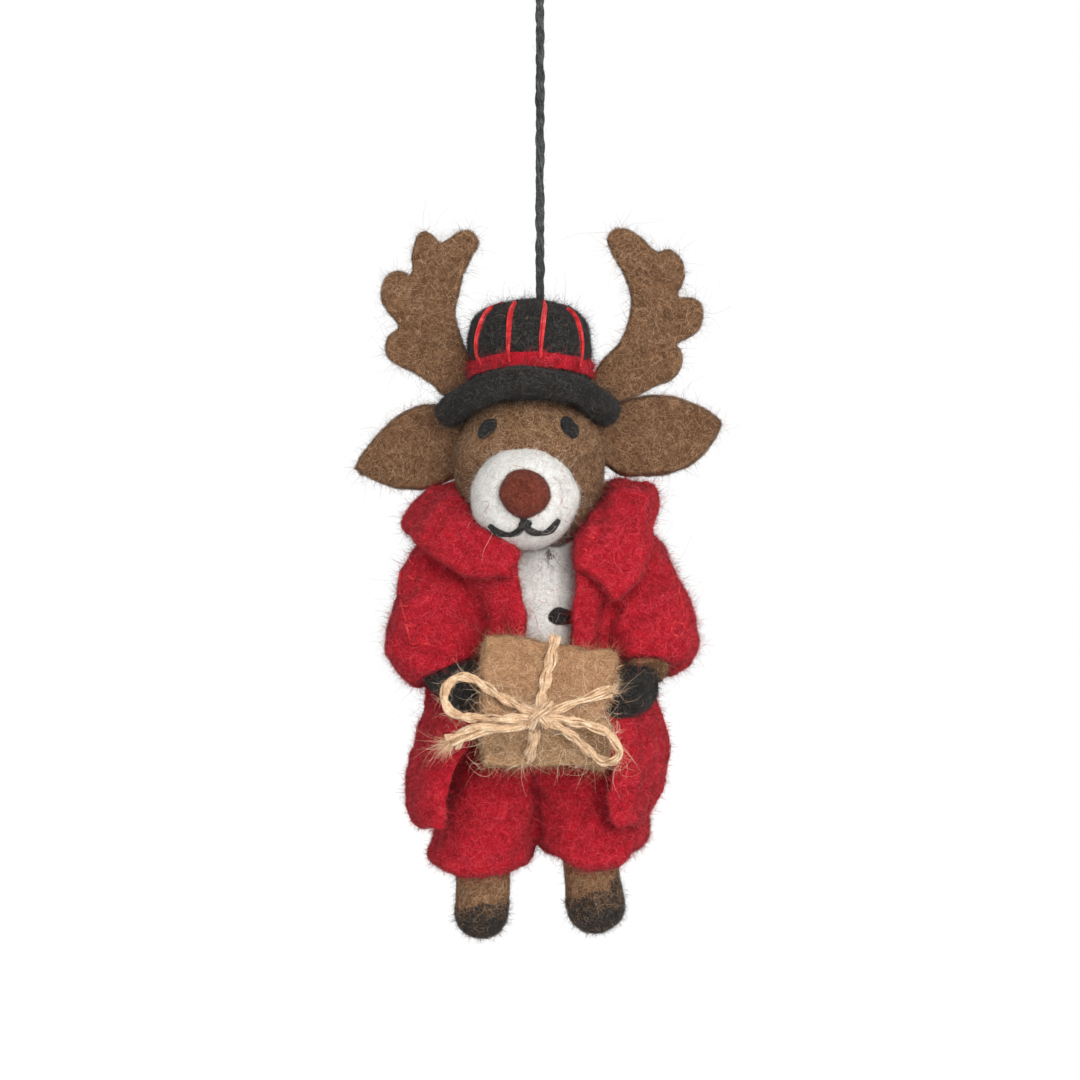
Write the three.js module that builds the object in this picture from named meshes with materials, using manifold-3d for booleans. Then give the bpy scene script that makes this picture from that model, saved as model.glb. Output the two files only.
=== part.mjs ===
// Hanging ornament: a stuffed reindeer of wool felt in a hat, a coat and trousers, with a parcel tied with jute.
// Millimetres, +Z up, the figure faces -Y. Left and right are the viewer's, so left is -X.
// The origin is the point inside the hanging loop that bears on a hook.
// The figure's own zero is the top of the hat's crown, on the line of the cord.

import * as THREE from "three";
import { mergeVertices } from "three/addons/utils/BufferGeometryUtils.js";
import Module from "manifold-3d";

const wasm = await Module();
wasm.setup();

// Fits
const seatGap = 0.3; // between pieces that touch
const cordWayEase = 1.2; // between the cord and the hole that it goes through
const weldDistance = 0.004;
const sliverWidth = 0.03; // edges shorter than this close up after a cut
const overrun = 2; // how far a cutter runs past what it cuts

// Hanging cord
const cordDiameter = 1.8;
const loopHeight = 20; // bearing point to the knot's top
const loopWidth = 12;
const loopTaperPower = 1.5;
const loopBowShare = 1.3; // makes up for the taper in the loop's width
const knotDiameter = 4.6;
const cordDrop = 61; // middle of the knot to the crown's top
const anchorDiameter = 4.2;

// Hat
const crownDiameter = 24.8;
const crownHeight = 16; // crown's top to the head's top
const crownLap = 3; // how far the crown comes down over the head
const crownProfileShares = [
  [0, 0],
  [0.2, 0.008],
  [0.42, 0.03],
  [0.62, 0.075],
  [0.77, 0.14],
  [0.88, 0.23],
  [0.95, 0.34],
  [0.99, 0.47],
  [1, 0.6],
  [1, 0.75],
  [0.98, 0.88],
  [0.93, 1],
  [0, 1],
];
const bandHeight = 3.4;
const bandThickness = 1;
const bandRise = 4.4; // head's top to the band's middle
const bandDroop = 1.9;
const bandDroopPower = 2;
const brimSpread = 29.2; // across the middle of the roll
const brimRollWidth = 5.8;
const brimRollHeight = 5.7;
const brimRise = 0.2; // head's top to the roll's middle, at the front
const brimDroop = 5.4; // how much lower the roll is at the sides
const brimDroopPower = 2.4;
const stripeDiameter = 1;
const stripeTurnShares = [-0.144, -0.047, 0.03, 0.14, 0.25, 0.35, 0.45, 0.55, 0.65, 0.75];
const stripeTopShare = 0.4; // how near to the crown's middle a stitch ends, in crown radii

// Head
const headWidth = 28.5;
const headDepth = 28;
const headHeight = 32;
const headShift = -2.1; // the head hangs a little to the left of the cord
const headSetBack = -0.5;
const muzzleWidth = 20.1;
const muzzleDepth = 16;
const muzzleHeight = 19.6;
const muzzleShift = -0.75; // from the head's middle
const muzzleDrop = 5.6;
const muzzleStandOut = 4.5; // the muzzle's front beyond the head's
const noseWidth = 9.5;
const noseDepth = 8;
const noseHeight = 9.3;
const noseRise = 1.2; // muzzle's middle to the nose's
const noseStandOut = 3.4;
const mouthYarnDiameter = 1;
const mouthCentreShares = [
  [-0.005, -0.2],
  [0, -0.285],
];
const mouthLeftShares = [
  [-0.01, -0.29],
  [-0.085, -0.345],
  [-0.2, -0.37],
  [-0.325, -0.26],
];
const mouthRightShares = [
  [0.03, -0.3],
  [0.15, -0.36],
  [0.255, -0.3],
  [0.315, -0.21],
];
const eyeWidth = 3;
const eyeHeight = 4.5;
const eyeDepth = 2.6;
const eyeSpread = 15.6; // middle to middle
const eyeRise = 7.4; // head's middle to the eyes
const eyeTilt = 32; // degrees, tops turned towards the hat's sides

// Felt cuts
const feltThickness = 3; // ears and antlers
const clothThickness = 2.4; // coat, collar and trousers
const earLength = 23;
const earWidth = 16;
const earRise = 4; // head's middle to the ear's root
const earSetBack = 2;
const earCup = 1.6; // how far the ear's edges come forward
const earRootShare = 0.82; // how deep in the head the ear starts, in head radii
const earWidthShares = [0.5, 0.74, 0.93, 1, 0.95, 0.78, 0.55, 0.28, 0.04];
const earLeftAim = new THREE.Vector3(-1, 0.42, -0.2);
const earRightAim = new THREE.Vector3(1, 0.2, 0.12);
const earCurl = 3; // how far the ear's axis bows upwards
const earRimShare = 0.4; // thickness that is left where the ear has no width
const antlerEdge = 0.75; // softness of the antlers' cut edges

const antlerHeight = 35;
const antlerWidth = 19.2;
const antlerPlane = 1.6; // how far behind the cord the antlers stand
const antlerFoot = 21; // crown's top down to the antlers' lower end
const antlerLeftRoot = -12.5; // head's middle line to the antler's inner edge
const antlerRightRoot = 12.6;
// From the inner corner of the foot, across in antler widths and up in antler heights
const antlerLeftShares = [
  [0.02, 0],
  [0.02, 0.23],
  [0.1, 0.39],
  [0.17, 0.5],
  [0.16, 0.61],
  [0.1, 0.74],
  [-0.05, 0.83],
  [-0.12, 0.92],
  [-0.05, 0.985],
  [0.08, 0.975],
  [0.22, 0.925],
  [0.28, 0.975],
  [0.38, 0.985],
  [0.47, 0.94],
  [0.52, 0.85],
  [0.49, 0.8],
  [0.51, 0.755],
  [0.6, 0.775],
  [0.74, 0.74],
  [0.83, 0.64],
  [0.78, 0.555],
  [0.66, 0.47],
  [0.76, 0.425],
  [0.8, 0.35],
  [0.74, 0.275],
  [0.56, 0.22],
  [0.4, 0.155],
  [0.28, 0.06],
  [0.2, 0],
];
const antlerRightShares = [
  [-0.06, 0],
  [-0.1, 0.16],
  [-0.02, 0.27],
  [0.14, 0.36],
  [0.23, 0.47],
  [0.25, 0.6],
  [0.17, 0.75],
  [0.05, 0.9],
  [0.05, 0.97],
  [0.14, 1],
  [0.27, 0.975],
  [0.4, 0.9],
  [0.48, 0.845],
  [0.54, 0.885],
  [0.65, 0.88],
  [0.72, 0.81],
  [0.71, 0.71],
  [0.67, 0.61],
  [0.78, 0.62],
  [0.88, 0.59],
  [0.91, 0.51],
  [0.86, 0.42],
  [0.67, 0.35],
  [0.74, 0.31],
  [0.75, 0.22],
  [0.66, 0.13],
  [0.48, 0.075],
  [0.36, 0.03],
  [0.3, 0],
];

// Body
const torsoWidth = 27;
const torsoDepth = 24;
const torsoHeight = 48;
const torsoSetBack = 2.2;
const neckSink = 3; // how far the torso reaches up into the head
const torsoShares = [0.55, 0.78, 0.92, 0.98, 1, 1, 0.97, 0.88, 0.5];
const buttonWidth = 4.6;
const buttonHeight = 3.4;
const buttonDepth = 2.2;
const buttonShift = 3.4;
const buttonDrop = 14.9; // torso's top to the button

// Legs, from the hip down
const legDiameter = 11.2;
const legLength = 29; // hip to where the hoof begins
const legHipSpread = 14; // middle to middle
const legFootSpread = 21.6;
const legHipRise = 7; // above the torso's lower end
const legShift = -0.6;
const kneeBow = 0.95;
const rearHoofLength = 6.6;
const rearHoofDiameter = 11.6;
const legRadiusShares = [0.85, 0.95, 1, 1, 0.96, 0.96];
const rearHoofShares = [0.98, 1, 1, 1, 1];

// Trousers
const waistDrop = 29; // torso's top to the waist
const trouserLength = 32;
const trouserWidth = 21.4; // one leg at the hem
const trouserDepth = 21;
const trouserWaistSpread = 11;
const trouserHemSpread = 22.4;
const trouserWidthShares = [1.02, 1.12, 1.12, 1.06, 1, 0.98];
const trouserHollowRise = 17; // hem up to the top of the leg's hollow
const trouserHollowInset = 0.8; // how far towards the middle that top lies
const trouserHollowShares = [0.85, 1, 1, 1];

// Coat
const coatLength = 55; // collar to hem
const coatRise = 1.4; // above the torso's top
const coatHemWidth = 45;
const coatHemDepth = 30;
const coatHemWave = 1.3;
const coatFold = 1.1;
const coatFoldCount = 7;
const coatEase = 1; // between torso and coat at the chest
const coatFlareShares = [0, 0, 0, 0, 0.12, 0.42, 0.78, 1, 1];
const coatCloseShares = [0.64, 0.93, 1, 1, 1, 1, 1, 1, 1];
const coatLeftEdgeTurnShares = [-0.13, -0.05, -0.04, -0.042, -0.06, -0.1, -0.13, -0.15, -0.165];
const coatRightEdgeTurnShares = [0.12, 0.065, 0.062, 0.062, 0.07, 0.09, 0.12, 0.135, 0.145];
const coatSeamTurnShare = 0.27;

// Collar: across in collar half spreads, back in collar depths, up in collar heights
const collarSpread = 46;
const collarDepth = 15;
const collarHeight = 22;
const collarFold = 9; // how high the fold stands over the collar's two edges, beside the head
const collarFoldShares = [0.35, 0.55, 0.9, 1, 0.8, 0.4, 0.14];
const collarDrop = 8; // torso's top down to the collar's foot
const lapelLeftInnerShares = [
  [-0.03, 0.78, 0.36],
  [-0.26, 0.7, 0.36],
  [-0.46, 0.42, 0.34],
  [-0.54, -0.04, 0.3],
  [-0.46, -0.5, 0.26],
  [-0.34, -0.82, 0.22],
  [-0.2, -1.0, 0.14],
];
const lapelLeftOuterShares = [
  [-0.03, 1.14, 0.14],
  [-0.44, 1.08, 0.2],
  [-0.84, 0.7, 0.33],
  [-1.08, 0.07, 0.44],
  [-1.08, -0.4, 0.4],
  [-0.78, -0.88, 0.2],
  [-0.3, -1.14, 0.0],
];
const lapelRightInnerShares = [
  [0.03, 0.78, 0.36],
  [0.26, 0.7, 0.36],
  [0.44, 0.42, 0.36],
  [0.5, -0.04, 0.34],
  [0.44, -0.5, 0.3],
  [0.33, -0.84, 0.24],
  [0.3, -1.02, 0.1],
];
const lapelRightOuterShares = [
  [0.03, 1.14, 0.14],
  [0.44, 1.08, 0.22],
  [0.8, 0.7, 0.4],
  [0.99, 0.07, 0.54],
  [1.0, -0.37, 0.42],
  [0.88, -0.78, 0.16],
  [0.64, -1.107, -0.23],
];

// Arms and sleeves: the elbow and the wrist as places, the rest from them
const armDiameter = 7.8;
const armRadiusShares = [0.95, 1, 1, 1, 1, 1];
const shoulderDrop = 6.6; // torso's top to the shoulders
const shoulderInset = 6; // how deep in the torso an arm starts
const armReach = 8; // torso's side to the elbow
const elbowDrop = 16;
const elbowForward = 1.95;
const upperArmOutShare = 0.55; // of the way out from the torso to the elbow
const upperArmDownShare = 0.25; // of the way down from the shoulder to the elbow
const wristDrop = 26.3;
const wristForward = 11;
const leftWristSpread = 16.8;
const rightWristSpread = 21;
const hoofDiameter = 8.4;
const frontHoofShares = [0.97, 1, 1, 1, 1];
const hoofUnderParcel = 1.2; // how far a hoof reaches behind the parcel's edge
const hoofDrop = 4.6; // wrist to the hoof's tip
const hoofForward = 3.6;
const hoofBow = 1.1;
const sleeveDiameter = 14.6;
const sleeveShares = [0.72, 0.92, 1.02, 1.04, 1, 0.96];
const sleeveStartShare = 0.4; // of the way from the shoulder to the upper arm
const sleeveHollowStartShare = 0.2; // of the way from the elbow to the cuff
const sleeveHollowMiddleShare = 0.6;
const sleeveHollowShares = [0.75, 1, 1];
const cuffSetBack = 1; // the wrist's end beyond the cuff

// Parcel
const parcelWidth = 25;
const parcelUpper = 15.4; // crease to upper edge
const parcelLower = 9.8; // crease to lower edge
const parcelThickness = 7.4;
const parcelUpperTilt = 23; // degrees from upright
const parcelLowerTilt = 17;
const parcelSlump = 4.2; // how much lower the upper edge is on the right
const parcelEdge = 1; // softness of the edges
// The side outline, in shares of the half's rise and of the thickness
const parcelFrontTopShare = 0.96;
const parcelTopShare = 0.3;
const parcelBackTopShare = 0.94;
const parcelBackWaistShare = 0.3;
const parcelBackFootShare = 0.9;
const parcelFootShare = 0.6;
const parcelFrontFootShare = 0.92;
const parcelShift = 1.6;
const parcelDrop = 34.3; // torso's top to the crease
const twineDiameter = 2.1;
const wrapTopShift = 1.6; // the wrap's slant, from the knot to the upper edge
const knotShift = -2; // parcel's middle to the bow's knot
const bowKnotDiameter = 5.2;
const bowStandOff = 0.5; // between the parcel and the bow
const loopStrandDiameter = 2.2;
const tailLeftDiameter = 3;
const tailRightDiameter = 1.6;
// Across in half parcel widths from the bow's knot, up in upper rises from the crease, and forward in twine
// diameters
const bowLoopLeftShares = [
  [-0.24, 0.08, 0.7],
  [-0.44, 0.28, 0.6],
  [-0.8, 0.5, 0.4],
  [-1.15, 0.53, 0.2],
  [-1.4, 0.34, 0.2],
  [-1.36, 0.12, 0.5],
  [-1.05, 0.02, 1],
  [-0.6, -0.03, 1.1],
  [-0.26, -0.04, 1],
];
const bowLoopRightShares = [
  [0.24, 0.05, 1],
  [0.52, 0.02, 1.1],
  [0.92, -0.05, 1],
  [1.16, -0.3, 0.8],
  [1.22, -0.46, 0.7],
  [1.06, -0.55, 0.5],
  [0.78, -0.44, 0.4],
  [0.46, -0.2, 0.4],
  [0.22, -0.09, 0.5],
];
const bowTailLeftShares = [
  [-0.2, -0.14, 1],
  [-0.6, -0.24, 0.6],
  [-1.05, -0.3, 0.5],
  [-1.4, -0.36, 0.8],
];
const bowTailRightShares = [
  [0.2, 0.12, 0.3],
  [0.6, 0.24, 0],
  [0.95, 0.42, -0.2],
  [1.3, 0.64, -0.4],
];

// Facets
const ballSides = 20;
const ballRings = 12;
const noseSides = 14;
const noseRings = 10;
const eyeSides = 10;
const eyeRings = 6;
const smallBallSides = 12;
const smallBallRings = 8;
const limbSides = 14;
const limbSteps = 8;
const cordSides = 8;
const threadSides = 6;
const earSides = 10;
const antlerCurveSteps = 2;
const crownSides = 22;
const brimTurns = 24;
const brimSides = 8;
const holeSides = 10;
const threadStepsPerPlace = 2;
const stripeSteps = 8;
const coatFrontSteps = 7;
const coatBackSteps = 14;
const coatDropSteps = 10;
const lapelSteps = 12;
const lapelFoldSteps = 5;
const parcelEdgeSteps = 2;
const wrapSteps = 24;
const bowLoopSteps = 20;
const bowTailSteps = 8;
const hangingLoopPoints = 24;
const hangingLoopSteps = 26;
const cordSteps = 4;
const slopeStep = 0.01; // share of a sheet over which its slope is taken

// Colours
const brownFelt = new THREE.MeshStandardMaterial({ color: 0x7a5740, roughness: 1 });
const blackFelt = new THREE.MeshStandardMaterial({ color: 0x2c2b2a, roughness: 1 });
const whiteFelt = new THREE.MeshStandardMaterial({ color: 0xe6e3df, roughness: 1 });
const redFelt = new THREE.MeshStandardMaterial({ color: 0xb41c28, roughness: 1 });
const russetFelt = new THREE.MeshStandardMaterial({ color: 0x6a3024, roughness: 1 });
const redFloss = new THREE.MeshStandardMaterial({ color: 0xc4282f, roughness: 0.7 });
const tanFelt = new THREE.MeshStandardMaterial({ color: 0xa4805c, roughness: 1 });
const jute = new THREE.MeshStandardMaterial({ color: 0xcda578, roughness: 0.9 });
const darkCord = new THREE.MeshStandardMaterial({ color: 0x3c3f40, roughness: 0.9 });

// Shape tools

function vector(x, y, z) {
  return new THREE.Vector3(x, y, z);
}

function radians(degrees) {
  return THREE.MathUtils.degToRad(degrees);
}

// A value along a list of evenly spaced values, at share 0 to 1
function along(values, share) {
  const place = THREE.MathUtils.clamp(share, 0, 1) * (values.length - 1);
  const low = Math.min(Math.floor(place), values.length - 2);
  return THREE.MathUtils.lerp(values[low], values[low + 1], place - low);
}

function geometryOf(points, triangles) {
  const geometry = new THREE.BufferGeometry();
  geometry.setAttribute("position", new THREE.Float32BufferAttribute(points.flatMap((p) => p.toArray()), 3));
  geometry.setIndex(triangles);
  return geometry;
}

function manifoldOf(geometry) {
  return new wasm.Manifold(
    new wasm.Mesh({
      numProp: 3,
      vertProperties: new Float32Array(geometry.attributes.position.array),
      triVerts: new Uint32Array(geometry.index.array),
    }),
  );
}

// A closed geometry as a solid whose faces point outwards
function solidOf(source) {
  const bare = source.clone();
  bare.deleteAttribute("normal");
  bare.deleteAttribute("uv");
  const geometry = mergeVertices(bare, weldDistance);
  const solid = manifoldOf(geometry);
  if (solid.volume() > 0) {
    return solid;
  }
  geometry.index.array.reverse();
  return manifoldOf(geometry);
}

function geometryFrom(solid) {
  const mesh = solid.getMesh();
  const geometry = new THREE.BufferGeometry();
  geometry.setAttribute("position", new THREE.BufferAttribute(mesh.vertProperties, 3));
  geometry.setIndex(new THREE.BufferAttribute(mesh.triVerts, 1));
  return geometry;
}

// The solid with its skin moved out, as a cutter that leaves a gap to it
function grown(solid, distance = seatGap) {
  const geometry = geometryFrom(solid);
  geometry.computeVertexNormals();
  const { position, normal } = geometry.attributes;
  for (let i = 0; i < position.count; i++) {
    position.setXYZ(
      i,
      position.getX(i) + normal.getX(i) * distance,
      position.getY(i) + normal.getY(i) * distance,
      position.getZ(i) + normal.getZ(i) * distance,
    );
  }
  return manifoldOf(geometry);
}

// The solid less its neighbours, without the crumbs that a cut leaves
function fitted(solid, ...neighbours) {
  const cut = neighbours.reduce((rest, neighbour) => rest.subtract(neighbour), solid);
  const bodies = cut.decompose();
  const largest = bodies.reduce((best, body) => (body.volume() > best.volume() ? body : best));
  return largest.simplify(sliverWidth);
}

function ball(centre, width, depth, height, sides = ballSides, rings = ballRings) {
  const sphere = new THREE.SphereGeometry(0.5, sides, rings);
  sphere.rotateX(radians(90));
  sphere.scale(width, depth, height);
  sphere.translate(centre.x, centre.y, centre.z);
  return solidOf(sphere);
}

// A skin over rings of points, closed at both ends by a fan round each end's own middle point
function loft(rings, start, end) {
  const sides = rings[0].length;
  const points = [start, ...rings.flat(), end];
  const last = points.length - 1;
  const triangles = [];
  for (let side = 0; side < sides; side++) {
    const next = (side + 1) % sides;
    triangles.push(0, 1 + next, 1 + side);
    triangles.push(last, last - sides + side, last - sides + next);
    for (let ring = 0; ring < rings.length - 1; ring++) {
      const low = 1 + ring * sides;
      const high = low + sides;
      triangles.push(low + side, low + next, high + next, low + side, high + next, high + side);
    }
  }
  return solidOf(geometryOf(points, triangles));
}

// A stuffed limb along a smooth route. Its half sizes go up and down with the shares
function limb({ route, halfWidth, halfDepth, shares, roundEnd = false, sides = limbSides, steps = limbSteps }) {
  const curve = new THREE.CatmullRomCurve3(route);
  const back = vector(0, 1, 0);
  const rings = [];
  for (let step = 0; step <= steps; step++) {
    if (roundEnd && step === steps) {
      continue;
    }
    const share = (1 - Math.cos((Math.PI * step) / steps)) / 2;
    const pastMiddle = Math.max(0, 2 * share - 1);
    const tipShare = roundEnd ? Math.sqrt(1 - pastMiddle ** 2) : 1;
    const centre = curve.getPointAt(share);
    const tangent = curve.getTangentAt(share);
    const across = vector(0, 0, 0).crossVectors(back, tangent).normalize();
    const ahead = vector(0, 0, 0).crossVectors(tangent, across).normalize();
    const size = along(shares, share) * tipShare;
    rings.push(
      Array.from({ length: sides }, (_, side) => {
        const turn = (side / sides) * Math.PI * 2;
        return centre
          .clone()
          .addScaledVector(across, Math.cos(turn) * halfWidth * size)
          .addScaledVector(ahead, Math.sin(turn) * halfDepth * size);
      }),
    );
  }
  return loft(rings, curve.getPointAt(0), curve.getPointAt(1));
}

// A closed ring. pointAt takes the turn round the ring and the turn round its section
function ringOf(pointAt, turns, sides) {
  const points = [];
  const triangles = [];
  for (let turn = 0; turn < turns; turn++) {
    for (let side = 0; side < sides; side++) {
      points.push(pointAt((turn / turns) * Math.PI * 2, (side / sides) * Math.PI * 2));
      const nextTurn = ((turn + 1) % turns) * sides;
      const nextSide = (side + 1) % sides;
      const here = turn * sides;
      triangles.push(here + side, nextTurn + side, nextTurn + nextSide);
      triangles.push(here + side, nextTurn + nextSide, here + nextSide);
    }
  }
  return solidOf(geometryOf(points, triangles));
}

// A sheet of cloth whose inner face is innerAt(u, v), made thick along its own normals
function sheet(innerAt, stepsU, stepsV, thickness) {
  const inner = [];
  const outer = [];
  for (let i = 0; i <= stepsU; i++) {
    for (let j = 0; j <= stepsV; j++) {
      const u = i / stepsU;
      const v = j / stepsV;
      const alongU = innerAt(u + slopeStep, v).sub(innerAt(u - slopeStep, v));
      const alongV = innerAt(u, v + slopeStep).sub(innerAt(u, v - slopeStep));
      const normal = alongU.cross(alongV).normalize();
      const point = innerAt(u, v);
      inner.push(point);
      outer.push(point.clone().addScaledVector(normal, thickness));
    }
  }
  const row = stepsV + 1;
  const top = inner.length;
  const triangles = [];
  const quad = (a, b, c, d) => triangles.push(a, b, c, a, c, d);
  for (let i = 0; i < stepsU; i++) {
    for (let j = 0; j < stepsV; j++) {
      const at = i * row + j;
      quad(at, at + 1, at + row + 1, at + row);
      quad(top + at, top + at + row, top + at + row + 1, top + at + 1);
    }
    const low = i * row;
    const high = low + stepsV;
    quad(low, low + row, top + low + row, top + low);
    quad(high, top + high, top + high + row, high + row);
  }
  for (let j = 0; j < stepsV; j++) {
    const far = stepsU * row + j;
    quad(j, top + j, top + j + 1, j + 1);
    quad(far, far + 1, top + far + 1, top + far);
  }
  return solidOf(geometryOf([...inner, ...outer], triangles));
}

function tube(route, diameter, sides, steps) {
  const corners = Array.from({ length: sides }, (_, side) => {
    const turn = (side / sides) * Math.PI * 2;
    return new THREE.Vector2(Math.cos(turn), Math.sin(turn)).multiplyScalar(diameter / 2);
  });
  const section = new THREE.Shape(corners);
  const extrudePath = new THREE.CatmullRomCurve3(route);
  return solidOf(new THREE.ExtrudeGeometry(section, { steps, extrudePath, bevelEnabled: false }));
}

// Places on the figure that several pieces share

const headMiddle = vector(headShift, headSetBack, -crownHeight - headHeight / 2);
const torsoTop = -crownHeight - headHeight + neckSink;
const torsoFoot = torsoTop - torsoHeight;
const torsoSide = torsoWidth / 2;
const torsoFront = torsoSetBack - torsoDepth / 2;
const muzzleMiddle = vector(
  headMiddle.x + muzzleShift,
  headMiddle.y - headDepth / 2 - muzzleStandOut + muzzleDepth / 2,
  headMiddle.z - muzzleDrop,
);
const noseMiddle = vector(
  muzzleMiddle.x,
  muzzleMiddle.y - muzzleDepth / 2 - noseStandOut + noseDepth / 2,
  muzzleMiddle.z + noseRise,
);

// The front point of an egg at a place across and up from its middle
function onFront(middle, width, depth, height, across, up) {
  const rest = 1 - (2 * across / width) ** 2 - (2 * up / height) ** 2;
  return vector(middle.x + across, middle.y - (depth / 2) * Math.sqrt(Math.max(rest, 0)), middle.z + up);
}

// Head

function smallBall(centre, width, depth = width, height = width) {
  return ball(centre, width, depth, height, smallBallSides, smallBallRings);
}

function makeHead() {
  return ball(headMiddle, headWidth, headDepth, headHeight);
}

function makeMuzzle() {
  return ball(muzzleMiddle, muzzleWidth, muzzleDepth, muzzleHeight);
}

function makeNose() {
  return ball(noseMiddle, noseWidth, noseDepth, noseHeight, noseSides, noseRings);
}

function mouthLine(shares) {
  const route = shares.map(([acrossShare, upShare]) => {
    const across = acrossShare * muzzleWidth;
    const up = upShare * muzzleHeight;
    const point = onFront(muzzleMiddle, muzzleWidth, muzzleDepth, muzzleHeight, across, up);
    const outward = point.clone().sub(muzzleMiddle).normalize();
    return point.addScaledVector(outward, mouthYarnDiameter / 2);
  });
  return tube(route, mouthYarnDiameter, threadSides, route.length * threadStepsPerPlace);
}

function makeMouth() {
  return mouthLine(mouthCentreShares).add(mouthLine(mouthLeftShares)).add(mouthLine(mouthRightShares));
}

function makeEye(side) {
  const eye = new THREE.SphereGeometry(0.5, eyeSides, eyeRings);
  eye.scale(eyeWidth, eyeDepth, eyeHeight);
  eye.rotateY(side * radians(-eyeTilt));
  const point = onFront(headMiddle, headWidth, headDepth, headHeight, (side * eyeSpread) / 2, eyeRise);
  const outward = point.clone().sub(headMiddle).normalize();
  const turn = new THREE.Quaternion().setFromUnitVectors(vector(0, -1, 0), outward);
  eye.applyQuaternion(turn);
  eye.translate(point.x, point.y, point.z);
  return solidOf(eye);
}

function middleOf(points) {
  return points.reduce((sum, point) => sum.add(point), vector(0, 0, 0)).divideScalar(points.length);
}

function makeEar(side, aim) {
  const direction = aim.clone().normalize();
  const upward = vector(0, 0, 1).addScaledVector(direction, -direction.z).normalize();
  const forward = vector(0, 0, 0).crossVectors(upward, direction).multiplyScalar(side).normalize();
  const root = vector(
    headMiddle.x + side * (headWidth / 2) * earRootShare,
    headMiddle.y + earSetBack,
    headMiddle.z + earRise,
  );
  const steps = earWidthShares.length - 1;
  const rings = earWidthShares.map((widthShare, step) => {
    const share = step / steps;
    const centre = root
      .clone()
      .addScaledVector(direction, share * earLength)
      .addScaledVector(upward, earCurl * Math.sin(share * Math.PI));
    return Array.from({ length: earSides }, (_, at) => {
      const turn = (at / earSides) * Math.PI * 2;
      const across = Math.cos(turn) * (earWidth / 2) * widthShare;
      const thick = Math.sin(turn) * (feltThickness / 2) * Math.min(1, earRimShare + widthShare);
      const cup = -earCup * (2 * across / earWidth) ** 2;
      return centre.clone().addScaledVector(upward, across).addScaledVector(forward, thick - cup);
    });
  });
  return loft(rings, middleOf(rings[0]), middleOf(rings[steps]));
}

function makeAntler(side, rootAcross, shares) {
  const outline = shares.map(([acrossShare, upShare]) => {
    return new THREE.Vector2(side * acrossShare * antlerWidth, upShare * antlerHeight);
  });
  const shape = new THREE.Shape();
  shape.moveTo(outline[0].x, outline[0].y);
  shape.splineThru(outline.slice(1));
  const plate = new THREE.ExtrudeGeometry(shape, {
    depth: feltThickness - 2 * antlerEdge,
    bevelThickness: antlerEdge,
    bevelSize: antlerEdge,
    bevelOffset: -antlerEdge,
    bevelSegments: 1,
    curveSegments: antlerCurveSteps,
  });
  plate.rotateX(radians(90));
  plate.translate(headMiddle.x + rootAcross, antlerPlane + feltThickness / 2 - antlerEdge, -antlerFoot);
  return solidOf(plate);
}

// Hat

const crownRadius = crownDiameter / 2;
const crownTall = crownHeight + crownLap;

// A point on the crown's profile, let out square to it, at a turn from the front
function crownPoint(turn, index, out) {
  const [before, here, after] = [index - 1, index, index + 1].map((at) => {
    const [radiusShare, heightShare] = crownProfileShares[at];
    return new THREE.Vector2(radiusShare * crownRadius, -heightShare * crownTall);
  });
  const slope = after.sub(before).normalize();
  const reach = here.x - slope.y * out;
  const rise = here.y + slope.x * out;
  return vector(headShift + Math.sin(turn) * reach, headSetBack - Math.cos(turn) * reach, rise);
}

function makeCrown() {
  const profile = crownProfileShares.map(
    ([radiusShare, heightShare]) => new THREE.Vector2(radiusShare * crownRadius, -heightShare * crownTall),
  );
  const dome = new THREE.LatheGeometry(profile, crownSides);
  dome.rotateX(radians(90));
  dome.translate(headShift, headSetBack, 0);
  return solidOf(dome);
}

const anchorMiddle = vector(0, 0, -crownHeight + seatGap + anchorDiameter / 2);
const cordEnd = anchorMiddle.z + anchorDiameter / 2 + seatGap;

// The cord's way through the crown, and the pocket for the knot at its end
function cordWay() {
  const upright = (diameter, top, foot) => {
    const hole = new THREE.CylinderGeometry(diameter / 2, diameter / 2, top - foot, holeSides);
    hole.rotateX(radians(90));
    hole.translate(0, 0, (top + foot) / 2);
    return solidOf(hole);
  };
  const way = upright(cordDiameter + cordWayEase, overrun, cordEnd);
  return way.add(upright(anchorDiameter + cordWayEase, cordEnd, -crownHeight - overrun));
}

function droopAt(turn, droop, power) {
  return -droop * Math.abs(Math.sin(turn)) ** power;
}

function makeBand() {
  const radius = crownRadius + seatGap + bandThickness / 2;
  return ringOf(
    (turn, section) => {
      const reach = radius + (bandThickness / 2) * Math.cos(section);
      const rise = (bandHeight / 2) * Math.sin(section);
      return vector(
        headShift + Math.sin(turn) * reach,
        headSetBack - Math.cos(turn) * reach,
        -crownHeight + bandRise + rise + droopAt(turn, bandDroop, bandDroopPower),
      );
    },
    brimTurns,
    threadSides,
  );
}

function makeBrim() {
  return ringOf(
    (turn, section) => {
      const reach = brimSpread / 2 + (brimRollWidth / 2) * Math.cos(section);
      const rise = (brimRollHeight / 2) * Math.sin(section);
      return vector(
        headShift + Math.sin(turn) * reach,
        headSetBack - Math.cos(turn) * reach,
        -crownHeight + brimRise + rise + droopAt(turn, brimDroop, brimDroopPower),
      );
    },
    brimTurns,
    brimSides,
  );
}

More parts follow.
